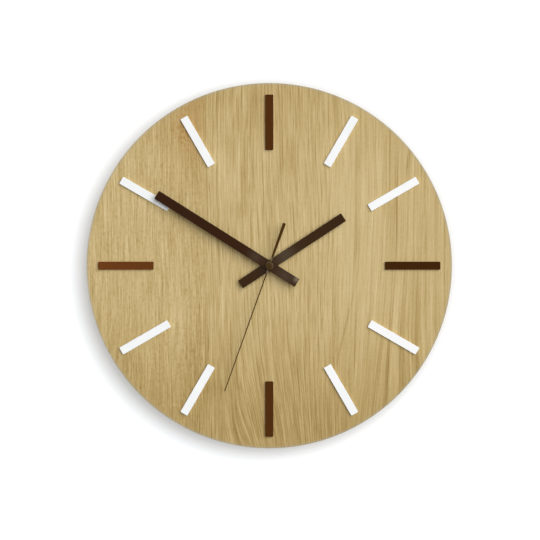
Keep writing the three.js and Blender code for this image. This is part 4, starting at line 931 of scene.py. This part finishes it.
def make_cell_can():
    """The steel can of a plain AA cell, with its nub to the right seen from the front."""
    low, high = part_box("battery_can")
    reach, radius = high.x, (high.z - low.z) / 2
    shoulder = reach - CELL_NUB_HEIGHT
    nub = CELL_NUB_RADIUS
    can = laid_along_bay([
        (0, -reach), (radius - CELL_EDGE, -reach), (radius, -reach + CELL_EDGE),
        (radius, shoulder - CELL_EDGE), (radius - CELL_EDGE, shoulder),
        (CELL_RING_RADIUS, shoulder), (nub, shoulder + CELL_NUB_EDGE),
        (nub, reach - CELL_NUB_EDGE), (nub - CELL_NUB_EDGE, reach), (0, reach),
    ])
    settle(can, STEEL, "cell_can")
    stand_for(can, "dial_and_case", "steel", "battery_can")


def make_cell_sleeve():
    low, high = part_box("battery_sleeve")
    outer = (high.z - low.z) / 2
    inner = outer - SLEEVE_THICKNESS
    edge = outer - SLEEVE_EDGE
    sleeve = laid_along_bay([
        (inner, low.x), (edge, low.x), (outer, low.x + SLEEVE_EDGE),
        (outer, high.x - SLEEVE_EDGE), (edge, high.x), (inner, high.x),
    ])
    settle(sleeve, SLEEVE, "cell_wrapper")
    stand_for(sleeve, "dial_and_case", "cell_sleeve", "battery_sleeve")


def make_foam():
    """A pad of foam tape between the case and the board. It has no hole for the case's neck."""
    low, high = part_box("mounting_foam")
    pad = block(low, high)
    round_corners(pad, FOAM_CORNER, segments=8)
    bpy.ops.object.mode_set(mode="OBJECT")
    soften(pad, FOAM_EDGE, segments=4)
    settle(pad, FOAM, "foam_pad")
    stand_for(pad, "dial_and_case", "foam", "mounting_foam")


def wire_helix(radius, turns):
    """Wire wound side by side about Z, in one unbroken helix whose middle is at the origin."""
    deselect_all()
    start = (radius, 0, -turns * WIRE_DIAMETER / 2)
    bpy.ops.mesh.primitive_circle_add(
        vertices=WIRE_SIDES, radius=WIRE_DIAMETER / 2, location=start, rotation=(math.pi / 2, 0, 0)
    )
    wire = bpy.context.object
    apply_place(wire)
    apply_modifier(
        wire, "helix", "SCREW", axis="Z", screw_offset=WIRE_DIAMETER, iterations=turns,
        steps=WIRE_STEPS, render_steps=WIRE_STEPS,
    )
    bpy.ops.object.mode_set(mode="EDIT")
    bpy.ops.mesh.select_mode(type="EDGE")
    bpy.ops.mesh.select_all(action="DESELECT")
    bpy.ops.mesh.select_non_manifold()
    bpy.ops.mesh.fill()
    bpy.ops.mesh.select_all(action="SELECT")
    bpy.ops.mesh.normals_make_consistent(inside=False)
    bpy.ops.object.mode_set(mode="OBJECT")
    return wire


def make_coil():
    """The outer layer of enamelled wire, without the layers under it."""
    low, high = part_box("coil_winding")
    outer = (high.x - low.x) / 2
    turns = int((high.z - low.z - WIRE_DIAMETER) / WIRE_DIAMETER)
    coil = wire_helix(outer - WIRE_DIAMETER / 2, turns)
    coil.location = (low + high) / 2
    settle(coil, COPPER, "wound_coil")
    stand_for(coil, "dial_and_case", "copper", "coil_winding")


def make_movement():
    make_case()
    make_knob()
    make_cell_can()
    make_cell_sleeve()
    make_foam()
    make_coil()


# Stage: a white wall that only the camera sees, lamps and the camera

def make_wall():
    deselect_all()
    bpy.ops.mesh.primitive_plane_add(
        size=WALL_SIZE, location=(0, MM, 0), rotation=(math.pi / 2, 0, 0)
    )
    wall = bpy.context.object
    wall.name = "wall"
    wall.visible_diffuse = False
    wall.visible_glossy = False
    wall.visible_transmission = False
    wall.visible_shadow = False
    paint = Paint("wall_paint")
    paint.tree.nodes.clear()
    # The wall is shaded a little more, all round, where the board comes close to it
    open_share = paint.node(
        "ShaderNodeAmbientOcclusion", {"samples": 24}, {"Distance": WALL_CORNER_REACH}, "AO"
    )
    shade = 1 - WALL_CORNER_SHADE + open_share * WALL_CORNER_SHADE
    colour = paint.node(
        "ShaderNodeVectorMath", {"operation": "SCALE"}, {0: WALL_COLOUR, "Scale": shade}
    )
    white = paint.node("ShaderNodeBsdfDiffuse", {}, {"Color": colour})
    glow = paint.node(
        "ShaderNodeEmission", {}, {"Color": WALL_GLOW_COLOUR, "Strength": shade * WALL_GLOW}
    )
    lit = paint.node("ShaderNodeAddShader", {}, {0: white, 1: glow})
    clear = paint.node("ShaderNodeBsdfTransparent", {}, {})
    behind = paint.node("ShaderNodeNewGeometry", {}, {}, "Backfacing")
    seen = paint.node("ShaderNodeMixShader", {}, {0: behind, 1: lit, 2: clear})
    paint.node("ShaderNodeOutputMaterial", {}, {"Surface": seen}, None)
    wall.data.materials.append(paint.material)


def make_world():
    """Even light, which the camera and mirrors see as a white backdrop."""
    world = bpy.data.worlds.new("studio")
    bpy.context.scene.world = world
    paint = Sky(world)
    light = paint.node("ShaderNodeBackground", {}, {"Strength": WORLD_LIGHT})
    backdrop = paint.node("ShaderNodeBackground", {}, {"Color": (1, 1, 1, 1), "Strength": 1.0})
    rays = [
        paint.node("ShaderNodeLightPath", {}, {}, kind)
        for kind in ("Is Camera Ray", "Is Glossy Ray", "Is Transmission Ray")
    ]
    seen = (rays[0] + rays[1] + rays[2]).smaller(1.0)
    sky = paint.node("ShaderNodeMixShader", {}, {0: seen, 1: light, 2: backdrop})
    paint.node("ShaderNodeOutputWorld", {}, {"Surface": sky}, None)


def make_sun(name, strength, spread, direction):
    """A far lamp. Direction is where its light comes from."""
    lamp = bpy.data.lights.new(name, "SUN")
    lamp.energy = strength
    lamp.angle = math.radians(spread)
    holder = bpy.data.objects.new(name, lamp)
    holder.rotation_mode = "QUATERNION"
    holder.rotation_quaternion = Vector(direction).to_track_quat("Z", "Y")
    bpy.context.scene.collection.objects.link(holder)
    return holder


def make_camera():
    low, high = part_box("front_veneer")
    face = low.y
    metres_per_pixel = high.x / FACE_RADIUS_PIXELS
    width = PICTURE_PIXELS * metres_per_pixel
    camera = bpy.data.cameras.new("camera")
    camera.sensor_width = SENSOR
    camera.lens = SENSOR * CAMERA_DISTANCE / width
    holder = bpy.data.objects.new("camera", camera)
    across = (PICTURE_PIXELS / 2 - FACE_MIDDLE_PIXELS[0]) * metres_per_pixel
    up = (FACE_MIDDLE_PIXELS[1] - PICTURE_PIXELS / 2) * metres_per_pixel
    holder.location = (across, face - CAMERA_DISTANCE, up)
    holder.rotation_euler = (math.pi / 2, 0, 0)
    bpy.context.scene.collection.objects.link(holder)
    bpy.context.scene.camera = holder


def make_stage():
    make_wall()
    make_world()
    make_sun("key_lamp", *KEY_LAMP)
    make_sun("front_lamp", *FRONT_LAMP).visible_glossy = False
    make_sun("sheen_lamp", *SHEEN_LAMP).data.color = SHEEN_COLOUR
    make_sun("back_lamp", *BACK_LAMP)
    make_camera()
    bpy.context.scene.view_settings.view_transform = "Standard"


finish_nodes()
make_board()
make_hour_bars()
make_hands()
make_bushes()
make_movement()
make_stage()
